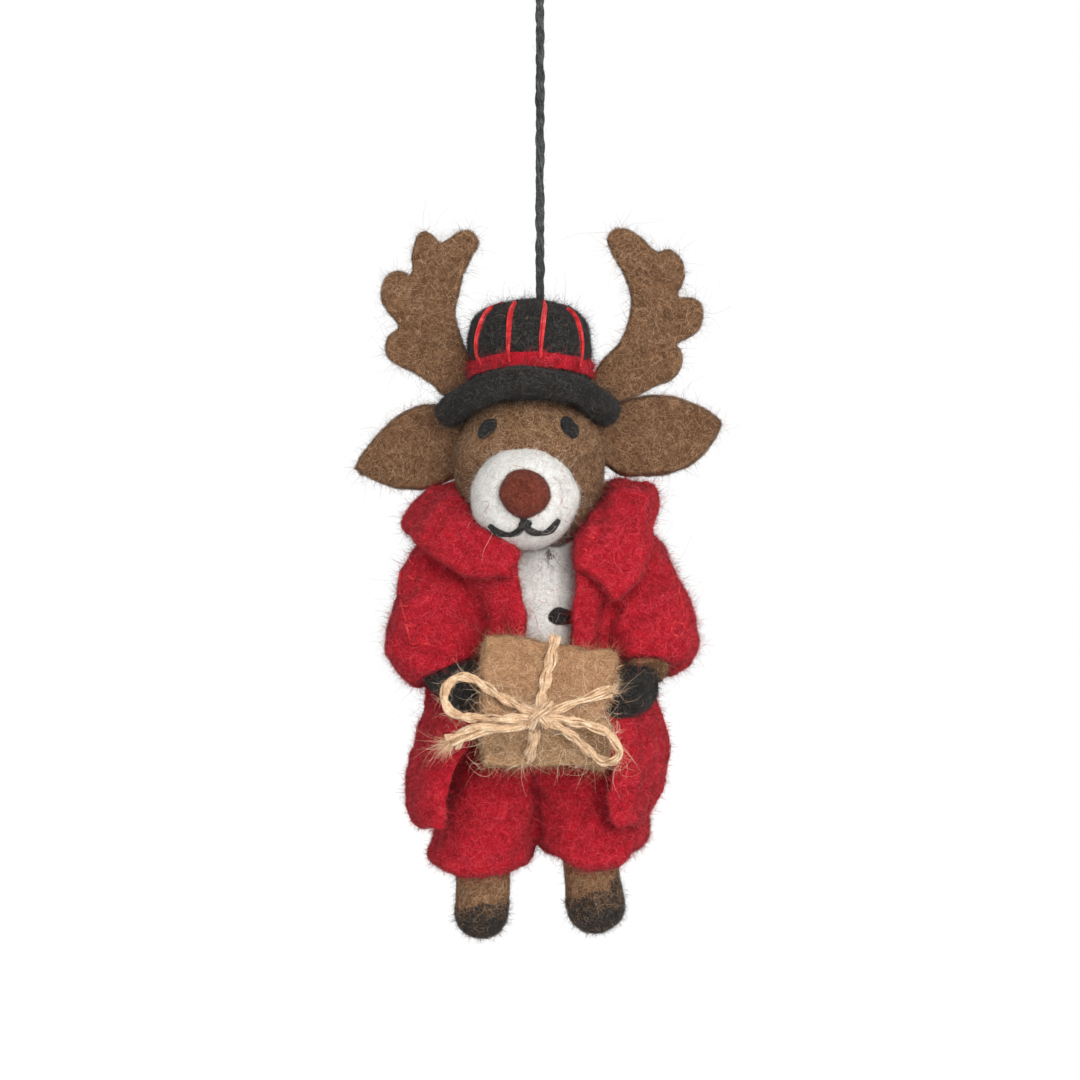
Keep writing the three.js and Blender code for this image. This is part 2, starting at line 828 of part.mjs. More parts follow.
// A single stitch from the band over the crown's shoulder
function makeStripe(turnShare) {
  const turn = turnShare * Math.PI * 2;
  const stand = stripeDiameter / 2 + seatGap;
  const bandTop = crownHeight - bandRise - bandHeight / 2 - droopAt(turn, bandDroop, bandDroopPower);
  const route = crownProfileShares.flatMap(([radiusShare, heightShare], index) => {
    const shows = radiusShare > stripeTopShare && heightShare * crownTall < bandTop - stand;
    return shows ? [crownPoint(turn, index, stand)] : [];
  });
  return tube(route, stripeDiameter, threadSides, stripeSteps);
}

// Body and legs

function makeTorso() {
  return limb({
    route: [vector(0, torsoSetBack, torsoTop), vector(0, torsoSetBack, torsoFoot)],
    halfWidth: torsoSide,
    halfDepth: torsoDepth / 2,
    shares: torsoShares,
    sides: ballSides,
  });
}

function makeButton() {
  const rest = 1 - (buttonShift / torsoSide) ** 2;
  const share = along(torsoShares, buttonDrop / torsoHeight);
  const face = torsoSetBack - (torsoDepth / 2) * share * Math.sqrt(rest);
  return smallBall(vector(buttonShift, face, torsoTop - buttonDrop), buttonWidth, buttonDepth, buttonHeight);
}

const hipZ = torsoFoot + legHipRise;
const ankleZ = hipZ - legLength;

function legRoute(side) {
  const hip = vector(legShift + (side * legHipSpread) / 2, torsoSetBack, hipZ);
  const ankle = vector(legShift + (side * legFootSpread) / 2, 0, ankleZ);
  const knee = hip.clone().add(ankle).divideScalar(2).add(vector(side * kneeBow, 0, 0));
  return [hip, knee, ankle];
}

function makeLeg(side) {
  return limb({
    route: legRoute(side),
    halfWidth: legDiameter / 2,
    halfDepth: legDiameter / 2,
    shares: legRadiusShares,
  });
}

function makeRearHoof(side) {
  const [, knee, ankle] = legRoute(side);
  const down = ankle.clone().sub(knee).normalize();
  return limb({
    route: [
      ankle.clone().addScaledVector(down, seatGap),
      ankle.clone().addScaledVector(down, seatGap + rearHoofLength),
    ],
    halfWidth: rearHoofDiameter / 2,
    halfDepth: rearHoofDiameter / 2,
    shares: rearHoofShares,
    roundEnd: true,
  });
}

// Trousers

const waistZ = torsoTop - waistDrop;
const hemZ = waistZ - trouserLength;

function trouserLeg(side) {
  const waist = vector(legShift + (side * trouserWaistSpread) / 2, torsoSetBack, waistZ);
  const hem = vector(legShift + (side * trouserHemSpread) / 2, 0, hemZ);
  return limb({
    route: [waist, waist.clone().add(hem).divideScalar(2).setY(torsoSetBack), hem],
    halfWidth: trouserWidth / 2,
    halfDepth: trouserDepth / 2,
    shares: trouserWidthShares,
  });
}

// The hollow of one leg, open at the hem
function trouserHollow(side) {
  const hemAcross = legShift + (side * trouserHemSpread) / 2;
  return limb({
    route: [
      vector(hemAcross - side * trouserHollowInset, 0, hemZ + trouserHollowRise),
      vector(hemAcross, 0, hemZ - overrun),
    ],
    halfWidth: trouserWidth / 2 - clothThickness,
    halfDepth: trouserDepth / 2 - clothThickness,
    shares: trouserHollowShares,
  });
}

function trousersOutside() {
  return trouserLeg(-1).add(trouserLeg(1));
}

function makeTrousers() {
  return trousersOutside().subtract(trouserHollow(-1)).subtract(trouserHollow(1));
}

// Coat

const coatTop = torsoTop + coatRise;

function coatInner(turnShare, dropShare) {
  const flare = along(coatFlareShares, dropShare);
  const close = along(coatCloseShares, dropShare);
  const halfWidth = torsoWidth / 2 + coatEase;
  const halfDepth = torsoDepth / 2 + coatEase;
  const width = THREE.MathUtils.lerp(halfWidth, coatHemWidth / 2 - clothThickness, flare) * close;
  const depth = THREE.MathUtils.lerp(halfDepth, coatHemDepth / 2 - clothThickness, flare) * close;
  const turn = turnShare * Math.PI * 2;
  const fold = coatFold * flare * Math.cos(turn * coatFoldCount);
  const wave = coatHemWave * flare * Math.sin(turn * coatFoldCount);
  return vector(
    Math.sin(turn) * (width + fold),
    torsoSetBack - Math.cos(turn) * (depth + fold),
    coatTop - dropShare * coatLength + wave,
  );
}

// A coat panel between two edges, each a list of turn shares from the collar to the hem
function coatPanel(edgeFrom, edgeTo, stepsAround) {
  const seam = seatGap / coatHemWidth / Math.PI;
  return sheet(
    (u, v) => coatInner(THREE.MathUtils.lerp(along(edgeFrom, v) + seam, along(edgeTo, v) - seam, u), v),
    stepsAround,
    coatDropSteps,
    -clothThickness,
  );
}

const leftSeam = [-coatSeamTurnShare, -coatSeamTurnShare];
const rightSeam = [coatSeamTurnShare, coatSeamTurnShare];
const backSeam = [1 - coatSeamTurnShare, 1 - coatSeamTurnShare];

// Collar and lapels

function collarPoint([across, back, up]) {
  return vector(
    (across * collarSpread) / 2,
    torsoSetBack + back * collarDepth,
    torsoTop - collarDrop + up * collarHeight,
  );
}

function makeLapel(innerShares, outerShares, side) {
  const inner = new THREE.CatmullRomCurve3(innerShares.map(collarPoint));
  const outer = new THREE.CatmullRomCurve3(outerShares.map(collarPoint));
  const clamped = (share) => THREE.MathUtils.clamp(share, 0, 1);
  return sheet(
    (u, v) => {
      const point = inner.getPoint(clamped(u)).lerp(outer.getPoint(clamped(u)), v);
      const fold = collarFold * along(collarFoldShares, u) * Math.sin(clamped(v) * Math.PI);
      return point.add(vector(0, 0, fold));
    },
    lapelSteps,
    lapelFoldSteps,
    side * clothThickness,
  );
}

// Parcel

const upperTilt = radians(parcelUpperTilt);
const lowerTilt = radians(parcelLowerTilt);
const upperRun = parcelUpper * Math.sin(upperTilt);
const upperRise = parcelUpper * Math.cos(upperTilt);
const lowerRun = parcelLower * Math.sin(lowerTilt);
const lowerRise = parcelLower * Math.cos(lowerTilt);
const parcelBack = torsoFront - coatEase - clothThickness - 2 * seatGap;
const parcelCrease = vector(parcelShift, parcelBack - upperRun - parcelThickness, torsoTop - parcelDrop);

// The parcel's side outline, back and up from its front crease, let out by a distance
function parcelOutline(out) {
  const back = upperRun + parcelThickness + out;
  return [
    [-out, 0],
    [upperRun - out, upperRise * parcelFrontTopShare],
    [upperRun + parcelThickness * parcelTopShare, upperRise + out],
    [back, upperRise * parcelBackTopShare],
    [back, upperRise * parcelBackWaistShare],
    [lowerRun + parcelThickness + out, -lowerRise * parcelBackFootShare],
    [lowerRun + parcelThickness * parcelFootShare, -lowerRise - out],
    [lowerRun - out, -lowerRise * parcelFrontFootShare],
  ];
}

function slumped(point) {
  const share = Math.max(0, (point.z - parcelCrease.z) / upperRise);
  return point.add(vector(0, 0, (-parcelSlump * share * (point.x - parcelCrease.x)) / parcelWidth));
}

function makeParcel() {
  const outline = parcelOutline(-parcelEdge).map(([back, up]) => new THREE.Vector2(back, up));
  const block = new THREE.ExtrudeGeometry(new THREE.Shape(outline), {
    depth: parcelWidth - 2 * parcelEdge,
    bevelThickness: parcelEdge,
    bevelSize: parcelEdge,
    bevelSegments: parcelEdgeSteps,
  });
  const { position } = block.attributes;
  for (let i = 0; i < position.count; i++) {
    const point = slumped(
      vector(
        parcelCrease.x - parcelWidth / 2 + parcelEdge + position.getZ(i),
        parcelCrease.y + position.getX(i),
        parcelCrease.z + position.getY(i),
      ),
    );
    position.setXYZ(i, point.x, point.y, point.z);
  }
  return solidOf(block);
}

const bowMiddle = vector(
  parcelCrease.x + knotShift,
  parcelCrease.y - bowStandOff - bowKnotDiameter / 2,
  parcelCrease.z,
);

function makeTwineWrap() {
  const outline = parcelOutline(twineDiameter / 2 + seatGap);
  const gap = bowKnotDiameter / 2 + seatGap + twineDiameter / 2;
  const round = [
    [outline[0][0] + gap * Math.tan(upperTilt), gap],
    ...outline.slice(1),
    [outline[0][0] + gap * Math.tan(lowerTilt), -gap],
  ];
  const route = round.map(([back, up]) =>
    slumped(
      vector(
        bowMiddle.x + (wrapTopShift * up) / upperRise,
        parcelCrease.y + back,
        parcelCrease.z + up,
      ),
    ),
  );
  return tube(route, twineDiameter, threadSides, wrapSteps);
}

// A strand of the bow, lying in front of the parcel
function bowStrand(shares, diameter, steps) {
  const route = shares.map(([across, up, ahead]) => {
    const rise = up * upperRise;
    const lean = rise > 0 ? rise * Math.tan(upperTilt) : -rise * Math.tan(lowerTilt);
    return vector(
      bowMiddle.x + (across * parcelWidth) / 2,
      parcelCrease.y + lean - diameter / 2 - bowStandOff - ahead * twineDiameter,
      parcelCrease.z + rise,
    );
  });
  return tube(route, diameter, threadSides, steps);
}

// Arms and sleeves

function armPlaces(side) {
  const shoulder = vector(side * (torsoSide - shoulderInset), torsoSetBack, torsoTop - shoulderDrop);
  const elbow = vector(side * (torsoSide + armReach), torsoSetBack - elbowForward, torsoTop - elbowDrop);
  const spread = side < 0 ? leftWristSpread : rightWristSpread;
  const wrist = vector(side * spread, torsoSetBack - wristForward, torsoTop - wristDrop);
  const upperArm = vector(
    side * (torsoSide + armReach * upperArmOutShare),
    torsoSetBack,
    THREE.MathUtils.lerp(shoulder.z, elbow.z, upperArmDownShare),
  );
  return { shoulder, upperArm, elbow, wrist };
}

function makeArm(side) {
  const { shoulder, upperArm, elbow, wrist } = armPlaces(side);
  return limb({
    route: [shoulder, upperArm, elbow, wrist],
    halfWidth: armDiameter / 2,
    halfDepth: armDiameter / 2,
    shares: armRadiusShares,
  });
}

function makeFrontHoof(side) {
  const { elbow, wrist } = armPlaces(side);
  const ahead = wrist.clone().sub(elbow).normalize();
  const edge = parcelCrease.x + side * (parcelWidth / 2 - hoofUnderParcel);
  const tip = vector(edge, wrist.y - hoofForward, wrist.z - hoofDrop);
  const start = wrist.clone().addScaledVector(ahead, seatGap);
  const middle = start.clone().add(tip).divideScalar(2).addScaledVector(ahead, hoofBow);
  return limb({
    route: [start, middle, tip],
    halfWidth: hoofDiameter / 2,
    halfDepth: hoofDiameter / 2,
    shares: frontHoofShares,
    roundEnd: true,
  });
}

function cuffPlace(side) {
  const { elbow, wrist } = armPlaces(side);
  return wrist.clone().lerp(elbow, cuffSetBack / wrist.distanceTo(elbow));
}

function makeSleeveOutside(side) {
  const { shoulder, upperArm, elbow } = armPlaces(side);
  return limb({
    route: [shoulder.clone().lerp(upperArm, sleeveStartShare), upperArm, elbow, cuffPlace(side)],
    halfWidth: sleeveDiameter / 2,
    halfDepth: sleeveDiameter / 2,
    shares: sleeveShares,
  });
}

function makeSleeveInside(side) {
  const { elbow } = armPlaces(side);
  const cuff = cuffPlace(side);
  const mouth = cuff.clone().lerp(elbow, -overrun / cuff.distanceTo(elbow));
  const start = elbow.clone().lerp(cuff, sleeveHollowStartShare);
  const middle = elbow.clone().lerp(cuff, sleeveHollowMiddleShare);
  return limb({
    route: [start, middle, mouth],
    halfWidth: sleeveDiameter / 2 - clothThickness,
    halfDepth: sleeveDiameter / 2 - clothThickness,
    shares: sleeveHollowShares,
  });
}

// The hanging cord

const knotMiddle = -loopHeight - knotDiameter / 2;
const crownTop = knotMiddle - cordDrop;

function makeHangingLoop() {
  const foot = -loopHeight + seatGap;
  const rise = cordDiameter / 2 - foot;
  const legSpacing = cordDiameter + seatGap;
  const route = Array.from({ length: hangingLoopPoints + 1 }, (_, at) => {
    const turn = (at / hangingLoopPoints) * Math.PI * 2;
    const bow = Math.sin(turn) * Math.sin(turn / 2) ** loopTaperPower;
    return vector(
      (loopWidth / 2) * loopBowShare * bow + (legSpacing / 2) * Math.cos(turn / 2),
      0,
      foot + (rise * (1 - Math.cos(turn))) / 2,
    );
  });
  return tube(route, cordDiameter, cordSides, hangingLoopSteps);
}

function makeCord() {
  const top = knotMiddle - knotDiameter / 2 - seatGap;
  return tube([vector(0, 0, top), vector(0, 0, crownTop + cordEnd)], cordDiameter, cordSides, cordSteps);
}

// Assembly

const group = new THREE.Group();
const figure = new THREE.Group();
figure.position.z = crownTop;
group.add(figure);

function place(parent, name, solid, material) {
  const mesh = new THREE.Mesh(geometryFrom(solid), material);
  mesh.name = name;
  parent.add(mesh);
}

const head = makeHead();
const muzzle = makeMuzzle();
const nose = makeNose();
const crown = makeCrown();
const brim = makeBrim();
const torso = makeTorso();
const headRoom = grown(head);
const muzzleRoom = grown(muzzle);
const noseRoom = grown(nose);
const crownRoom = grown(crown);
const brimRoom = grown(brim);
const torsoRoom = grown(torso);

place(group, "hanging_loop", makeHangingLoop(), darkCord);
place(group, "loop_knot", smallBall(vector(0, 0, knotMiddle), knotDiameter), darkCord);
place(group, "cord", makeCord(), darkCord);
place(figure, "cord_anchor", smallBall(anchorMiddle, anchorDiameter), darkCord);

place(figure, "head", head, brownFelt);
place(figure, "muzzle", fitted(muzzle, headRoom), whiteFelt);
place(figure, "nose", fitted(nose, muzzleRoom), russetFelt);
place(figure, "mouth", fitted(makeMouth(), muzzleRoom, noseRoom), blackFelt);
place(figure, "eye_left", fitted(makeEye(-1), headRoom, muzzleRoom), blackFelt);
place(figure, "eye_right", fitted(makeEye(1), headRoom, muzzleRoom), blackFelt);

place(figure, "hat_crown", fitted(crown, headRoom, cordWay()), blackFelt);
place(figure, "hat_band", fitted(makeBand(), brimRoom), redFelt);
place(figure, "hat_brim", fitted(brim, crownRoom, headRoom), blackFelt);
stripeTurnShares.forEach((turnShare, index) => {
  place(figure, "hat_stripe_" + (index + 1), makeStripe(turnShare), redFloss);
});

const antlerLeft = makeAntler(-1, antlerLeftRoot, antlerLeftShares);
const antlerRight = makeAntler(1, antlerRightRoot, antlerRightShares);
const bandRoom = grown(makeBand());
const hatRooms = [crownRoom, brimRoom, bandRoom, headRoom];
place(figure, "antler_left", fitted(antlerLeft, ...hatRooms), brownFelt);
place(figure, "antler_right", fitted(antlerRight, ...hatRooms), brownFelt);
const earLeft = makeEar(-1, earLeftAim);
const earRight = makeEar(1, earRightAim);
place(figure, "ear_left", fitted(earLeft, ...hatRooms, grown(antlerLeft)), brownFelt);
place(figure, "ear_right", fitted(earRight, ...hatRooms, grown(antlerRight)), brownFelt);

place(figure, "torso", fitted(torso, headRoom), whiteFelt);
place(figure, "button", fitted(makeButton(), torsoRoom), blackFelt);

const limbs = [-1, 1].map((side) => {
  const arm = makeArm(side);
  const hoof = makeFrontHoof(side);
  const sleeve = makeSleeveOutside(side);
  const leg = makeLeg(side);
  return {
    side,
    arm,
    hoof,
    sleeve,
    leg,
    armRoom: grown(arm),
    hoofRoom: grown(hoof),
    sleeveRoom: grown(sleeve),
    legRoom: grown(leg),
  };
});
const trousers = fitted(makeTrousers(), torsoRoom, ...limbs.map(({ legRoom }) => legRoom));
const trouserRoom = grown(trousersOutside());
place(figure, "trousers", trousers, redFelt);

const coatNeighbours = [
  muzzleRoom,
  headRoom,
  torsoRoom,
  trouserRoom,
  ...limbs.flatMap(({ armRoom, sleeveRoom }) => [armRoom, sleeveRoom]),
];
const coatPanels = [
  coatPanel(leftSeam, coatLeftEdgeTurnShares, coatFrontSteps),
  coatPanel(coatRightEdgeTurnShares, rightSeam, coatFrontSteps),
  coatPanel(rightSeam, backSeam, coatBackSteps),
];
const coatPieces = coatPanels.map((panel) => fitted(panel, ...coatNeighbours));
place(figure, "coat_front_left", coatPieces[0], redFelt);
place(figure, "coat_front_right", coatPieces[1], redFelt);
place(figure, "coat_back", coatPieces[2], redFelt);
const coatRooms = coatPanels.map((panel) => grown(panel));

const collarNeighbours = [headRoom, muzzleRoom, torsoRoom, ...coatRooms, ...limbs.map((at) => at.sleeveRoom)];
const lapelLeft = makeLapel(lapelLeftInnerShares, lapelLeftOuterShares, -1);
const lapelRight = makeLapel(lapelRightInnerShares, lapelRightOuterShares, 1);
const besideLapelRight = [grown(earRight), grown(lapelLeft)];
place(figure, "lapel_left", fitted(lapelLeft, ...collarNeighbours, grown(earLeft)), redFelt);
place(figure, "lapel_right", fitted(lapelRight, ...collarNeighbours, ...besideLapelRight), redFelt);

const parcel = fitted(makeParcel(), ...coatRooms);
const parcelRoom = grown(makeParcel());
place(figure, "parcel", parcel, tanFelt);

for (const { side, arm, hoof, sleeve, leg, armRoom, hoofRoom } of limbs) {
  const name = side < 0 ? "_left" : "_right";
  place(figure, "arm" + name, fitted(arm, torsoRoom), brownFelt);
  const sleeveNeighbours = [torsoRoom, headRoom, armRoom, hoofRoom, parcelRoom, trouserRoom, ...coatPieces];
  place(figure, "sleeve" + name, fitted(sleeve, makeSleeveInside(side), ...sleeveNeighbours), redFelt);
  place(figure, "hoof_front" + name, fitted(hoof, parcelRoom, armRoom, ...coatRooms), blackFelt);
  place(figure, "leg" + name, fitted(leg, torsoRoom), brownFelt);
  place(figure, "hoof_rear" + name, makeRearHoof(side), blackFelt);
}

const bowKnot = smallBall(bowMiddle, bowKnotDiameter);
const bowKnotRoom = grown(bowKnot);
place(figure, "twine_wrap", fitted(makeTwineWrap(), parcelRoom, bowKnotRoom), jute);
place(figure, "bow_knot", fitted(bowKnot, parcelRoom), jute);
const wrapRoom = grown(makeTwineWrap());
const bowLoopLeft = bowStrand(bowLoopLeftShares, loopStrandDiameter, bowLoopSteps);
const bowLoopRight = bowStrand(bowLoopRightShares, loopStrandDiameter, bowLoopSteps);
const bowNeighbours = [parcelRoom, bowKnotRoom, wrapRoom];
const loopRooms = [grown(bowLoopLeft), grown(bowLoopRight)];
place(figure, "bow_loop_left", fitted(bowLoopLeft, ...bowNeighbours), jute);
place(figure, "bow_loop_right", fitted(bowLoopRight, ...bowNeighbours), jute);
const bowTailLeft = bowStrand(bowTailLeftShares, tailLeftDiameter, bowTailSteps);
const bowTailRight = bowStrand(bowTailRightShares, tailRightDiameter, bowTailSteps);
place(figure, "bow_tail_left", fitted(bowTailLeft, ...bowNeighbours, ...loopRooms), jute);
place(figure, "bow_tail_right", fitted(bowTailRight, ...bowNeighbours, ...loopRooms), jute);

export default group;
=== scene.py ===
# A stuffed reindeer of wool felt in a hat, a coat and trousers, with a parcel, hanging on a yarn cord.
# Metres, +Z up, the figure faces -Y. Left and right are the viewer's, so left is -X.

import math

import bmesh
import bpy
import numpy as np
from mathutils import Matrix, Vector, noise
from mathutils.bvhtree import BVHTree


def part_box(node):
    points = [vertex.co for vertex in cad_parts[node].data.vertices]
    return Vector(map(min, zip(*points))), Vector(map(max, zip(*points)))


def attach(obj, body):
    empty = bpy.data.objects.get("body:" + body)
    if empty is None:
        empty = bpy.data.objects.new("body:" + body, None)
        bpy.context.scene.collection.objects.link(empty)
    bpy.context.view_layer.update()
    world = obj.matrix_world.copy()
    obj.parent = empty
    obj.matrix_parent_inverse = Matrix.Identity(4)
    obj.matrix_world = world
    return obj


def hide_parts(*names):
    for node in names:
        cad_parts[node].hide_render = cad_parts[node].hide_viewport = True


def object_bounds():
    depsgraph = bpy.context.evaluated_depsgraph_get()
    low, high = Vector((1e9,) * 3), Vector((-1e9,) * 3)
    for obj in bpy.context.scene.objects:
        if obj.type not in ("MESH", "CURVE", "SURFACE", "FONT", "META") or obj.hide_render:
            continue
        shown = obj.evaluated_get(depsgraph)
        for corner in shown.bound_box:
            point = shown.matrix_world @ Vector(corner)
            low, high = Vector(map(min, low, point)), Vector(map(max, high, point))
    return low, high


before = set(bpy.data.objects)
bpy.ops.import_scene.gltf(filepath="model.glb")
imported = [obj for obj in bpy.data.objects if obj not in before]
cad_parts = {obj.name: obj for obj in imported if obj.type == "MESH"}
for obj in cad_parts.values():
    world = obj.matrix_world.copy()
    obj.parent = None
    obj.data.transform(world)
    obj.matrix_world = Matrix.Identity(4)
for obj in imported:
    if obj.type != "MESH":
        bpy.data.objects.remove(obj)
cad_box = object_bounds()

MM = 0.001
FIGURE = "figure"

# Camera and light. Places on the photograph are in its own pixels.
PHOTO_SCALE = 0.19 * MM
PHOTO_SIDE = 1080
PHOTO_MIDDLE_Z = -128.9 * MM
CAMERA_DISTANCE = 1.1
SENSOR = 36.0
FLOOR_DROP = 80 * MM  # feet to the floor
FLOOR_SIZE = 8.0
AMBIENT = 0.62
LAMPS = {"key": ((0.35, -0.95, 0.12), 9.0, 0.6), "fill": ((-0.7, -0.7, -0.1), 2.0, 0.9)}  # place, power, size

# Colours as 8-bit sRGB: dark, middle and light wool
SHADES = {
    "brown_felt": ((50, 32, 21), (116, 82, 56), (192, 154, 120)),
    "black_felt": ((14, 14, 13), (34, 33, 32), (92, 88, 84)),
    "white_felt": ((180, 177, 171), (222, 220, 215), (250, 249, 247)),
    "red_felt": ((108, 5, 17), (180, 20, 37), (222, 74, 86)),
    "russet_felt": ((66, 26, 19), (108, 48, 35), (152, 88, 68)),
    "red_floss": ((140, 14, 24), (204, 34, 42), (236, 96, 96)),
    "tan_felt": ((122, 86, 58), (178, 134, 96), (222, 186, 146)),
    "jute": ((160, 116, 84), (216, 180, 142), (247, 230, 204)),
    "dark_cord": ((26, 28, 28), (50, 53, 52), (96, 99, 98)),
}

# Fuzz, as matted fibres, curls and nap: how many on a square millimetre, their length and their width in
# millimetres. The last number is how much the curls and the nap stand up, 0 to 1.
FUZZ = {
    "brown_felt": ((6.0, 2.4, 0.07), (3.5, 2.1, 0.055), (8.0, 0.75, 0.045), 0.5),
    "black_felt": ((4.5, 2.2, 0.065), (3.5, 2.1, 0.055), (8.0, 0.7, 0.045), 0.6),
    "white_felt": ((3.5, 2.4, 0.07), (1.8, 1.7, 0.05), (6.0, 0.6, 0.045), 0.45),
    "red_felt": ((4.5, 2.2, 0.08), (3.4, 2.1, 0.065), (8.5, 0.85, 0.05), 0.7),
    "russet_felt": ((5.0, 2.0, 0.075), (1.8, 1.4, 0.05), (8.0, 0.7, 0.04), 0.5),
    "tan_felt": ((6.0, 2.4, 0.07), (3.8, 2.4, 0.055), (8.0, 0.8, 0.045), 0.5),
}
STRAYS = (0.35, 4.6, 0.04)  # long loose fibres on every felt
MIGRANTS = {"black_felt": ("brown_felt", 0.08), "white_felt": ("red_felt", 0.1), "tan_felt": ("jute", 0.5)}
MIGRANT_LENGTH_SHARE = 1.5  # of the matted fibres' length
OVER_SIZE = (2.4, 0.065)  # length and width of wool laid over another colour
OVER_HEAD = 5  # fibres of it on a square millimetre
OVER_FOOT = 4.5
OVER_HOOF = 0.3
# How a layer grows: how far its fibres stand up at least and at most, or None where they lie on the felt,
# then their curl, their steps and the spread of their tones. For curls and nap, the most is times the last
# number of FUZZ.
LAYERS = {
    "matted": (None, 0.5, 5, 0.4),
    "curls": ((0.1, 2.2), 0.7, 5, 0.35),
    "nap": ((0.2, 2), 0.5, 2, 0.22),
    "strays": ((0.1, 0.9), 0.5, 9, 0.22),
    "migrants": (None, 0.4, 6, 0.22),
    "over": (None, 0.4, 5, 0.3),
}
MATTED_LIFTS = (0.02, 0.3)  # millimetres off the felt
NORMAL_SHARE = 0.6  # how far a fibre takes its shading from the felt under it
FACES_AT_MOST = 90000  # in one piece of fuzz

# The mesh of each kind of piece: the size of its cells in millimetres, and how often its edges are worn round
MESHES = {
    "ear": (0.4, 7), "antler": (0.4, 5), "hat_crown": (0.4, 8), "hat_brim": (0.4, 8), "hat_band": (0.3, 8),
    "torso": (0.7, 6), "leg": (0.4, 6), "arm": (0.6, 6), "hoof_front": (0.5, 8), "parcel": (0.5, 8),
    "trousers": (0.6, 8), "sleeve": (0.6, 8), "coat_front": (0.5, 7), "coat_back": (0.55, 8),
    "lapel": (0.5, 8),
}
BALL_CUTS = {"head": 6, "muzzle": 6, "nose": 5, "oval": 4}
# Lumps of each kind of piece: their depths and sizes in millimetres
LUMPS = {
    "head": [(0.7, 7)], "muzzle": [(0.4, 5)], "nose": [(0.3, 3)], "oval": [(0.3, 2)], "ear": [(0.35, 4)],
    "antler": [(0.35, 4)], "hat_crown": [(0.5, 5)], "hat_brim": [(0.6, 5)], "hat_band": [(0.5, 3)],
    "torso": [(0.5, 5)], "leg": [(0.5, 6)], "arm": [(0.4, 5)], "hoof_front": [(0.5, 5)],
    "parcel": [(0.8, 6), (0.4, 2.5)],
}
CLOTH_LUMPS = [(1.0, 9), (0.55, 3.5)]
# What sets one piece's lumps apart from another's
SEEDS = {
    "head": 3, "muzzle": 5, "nose": 8, "oval": 5, "ear_left": 8, "ear_right": 9, "antler_left": 11,
    "antler_right": 12, "hat_crown": 9, "hat_brim": 8, "hat_band": 4, "torso": 5, "leg_left": 3,
    "leg_right": 5, "arm_left": 8, "arm_right": 8, "hoof_front_left": 4, "hoof_front_right": 4, "parcel": 6,
    "trousers": 31, "sleeve_left": 33, "sleeve_right": 35, "coat_front_left": 41, "coat_front_right": 43,
    "coat_back": 45, "lapel_left": 47, "lapel_right": 49,
}

rng = np.random.default_rng(7)


# Places


def place_at(px, py, y=0.0):
    right, up = px - PHOTO_SIDE / 2, PHOTO_SIDE / 2 - py
    return Vector((right * PHOTO_SCALE, y, PHOTO_MIDDLE_Z + up * PHOTO_SCALE))


def places_at(pixels):
    return np.array([tuple(place_at(px, py)) for px, py in pixels])


# Meshes


def linear(colour):
    values = np.array(colour) / 255
    return tuple(np.where(values <= 0.04045, values / 12.92, ((values + 0.055) / 1.055) ** 2.4))


def mesh_object(name, points, faces, material):
    """A smooth mesh from an array of points and an array of faces with equally many corners."""
    mesh = bpy.data.meshes.new(name)
    mesh.vertices.add(len(points))
    mesh.vertices.foreach_set("co", np.asarray(points, np.float32).ravel())
    mesh.loops.add(faces.size)
    mesh.loops.foreach_set("vertex_index", np.asarray(faces, np.int32).ravel())
    mesh.polygons.add(len(faces))
    mesh.polygons.foreach_set("loop_start", np.arange(0, faces.size, faces.shape[1], dtype=np.int32))
    mesh.polygons.foreach_set("use_smooth", np.ones(len(faces), bool))
    mesh.update(calc_edges=True)
    return object_of(name, mesh, material)


def object_of(name, mesh, material):
    obj = bpy.data.objects.new(name, mesh)
    bpy.context.scene.collection.objects.link(obj)
    mesh.materials.clear()
    mesh.materials.append(material)
    return obj


def object_from(name, shape, material):
    """A smooth object from a bmesh, which is freed."""
    mesh = bpy.data.meshes.new(name)
    shape.to_mesh(mesh)
    shape.free()
    mesh.shade_smooth()
    return object_of(name, mesh, material)


def values_of(items, field, width=3, kind=np.float32):
    """One field of a mesh's parts, as rows of numbers."""
    values = np.empty(len(items) * width, kind)
    items.foreach_get(field, values)
    return values.reshape(-1, width)


def points_of(obj):
    return values_of(obj.data.vertices, "co").astype(float)


def normals_of(obj):
    return values_of(obj.data.vertex_normals, "vector").astype(float)


def set_points(obj, points):
    obj.data.vertices.foreach_set("co", points.astype(np.float32).ravel())
    obj.data.update()


def kind_of(node):
    return node.removesuffix("_left").removesuffix("_right")


def remeshed(obj, node):
    """The union of an object's shells, with an even mesh and its edges worn round."""
    cell, rounds = MESHES[kind_of(node)]
    material = obj.data.materials[0]
    remesh = obj.modifiers.new("remesh", "REMESH")
    remesh.mode = "VOXEL"
    remesh.voxel_size = cell * MM
    smooth = obj.modifiers.new("smooth", "SMOOTH")
    smooth.factor = 0.5
    smooth.iterations = rounds
    graph = bpy.context.evaluated_depsgraph_get()
    mesh = bpy.data.meshes.new_from_object(obj.evaluated_get(graph))
    obj.modifiers.clear()
    obj.data = mesh
    mesh.materials.clear()
    mesh.materials.append(material)
    mesh.shade_smooth()
    return obj


def soft_copy(node, slot, ending="wool", patches=()):
    """One soft form of a node's solid and of patches, which are used up."""
    joined = bmesh.new()
    for mesh in [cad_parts[node].data] + [patch.data for patch in patches]:
        joined.from_mesh(mesh)
    for patch in patches:
        bpy.data.objects.remove(patch)
    return remeshed(object_from(f"{node}_{ending}", joined, felts[slot]), node)


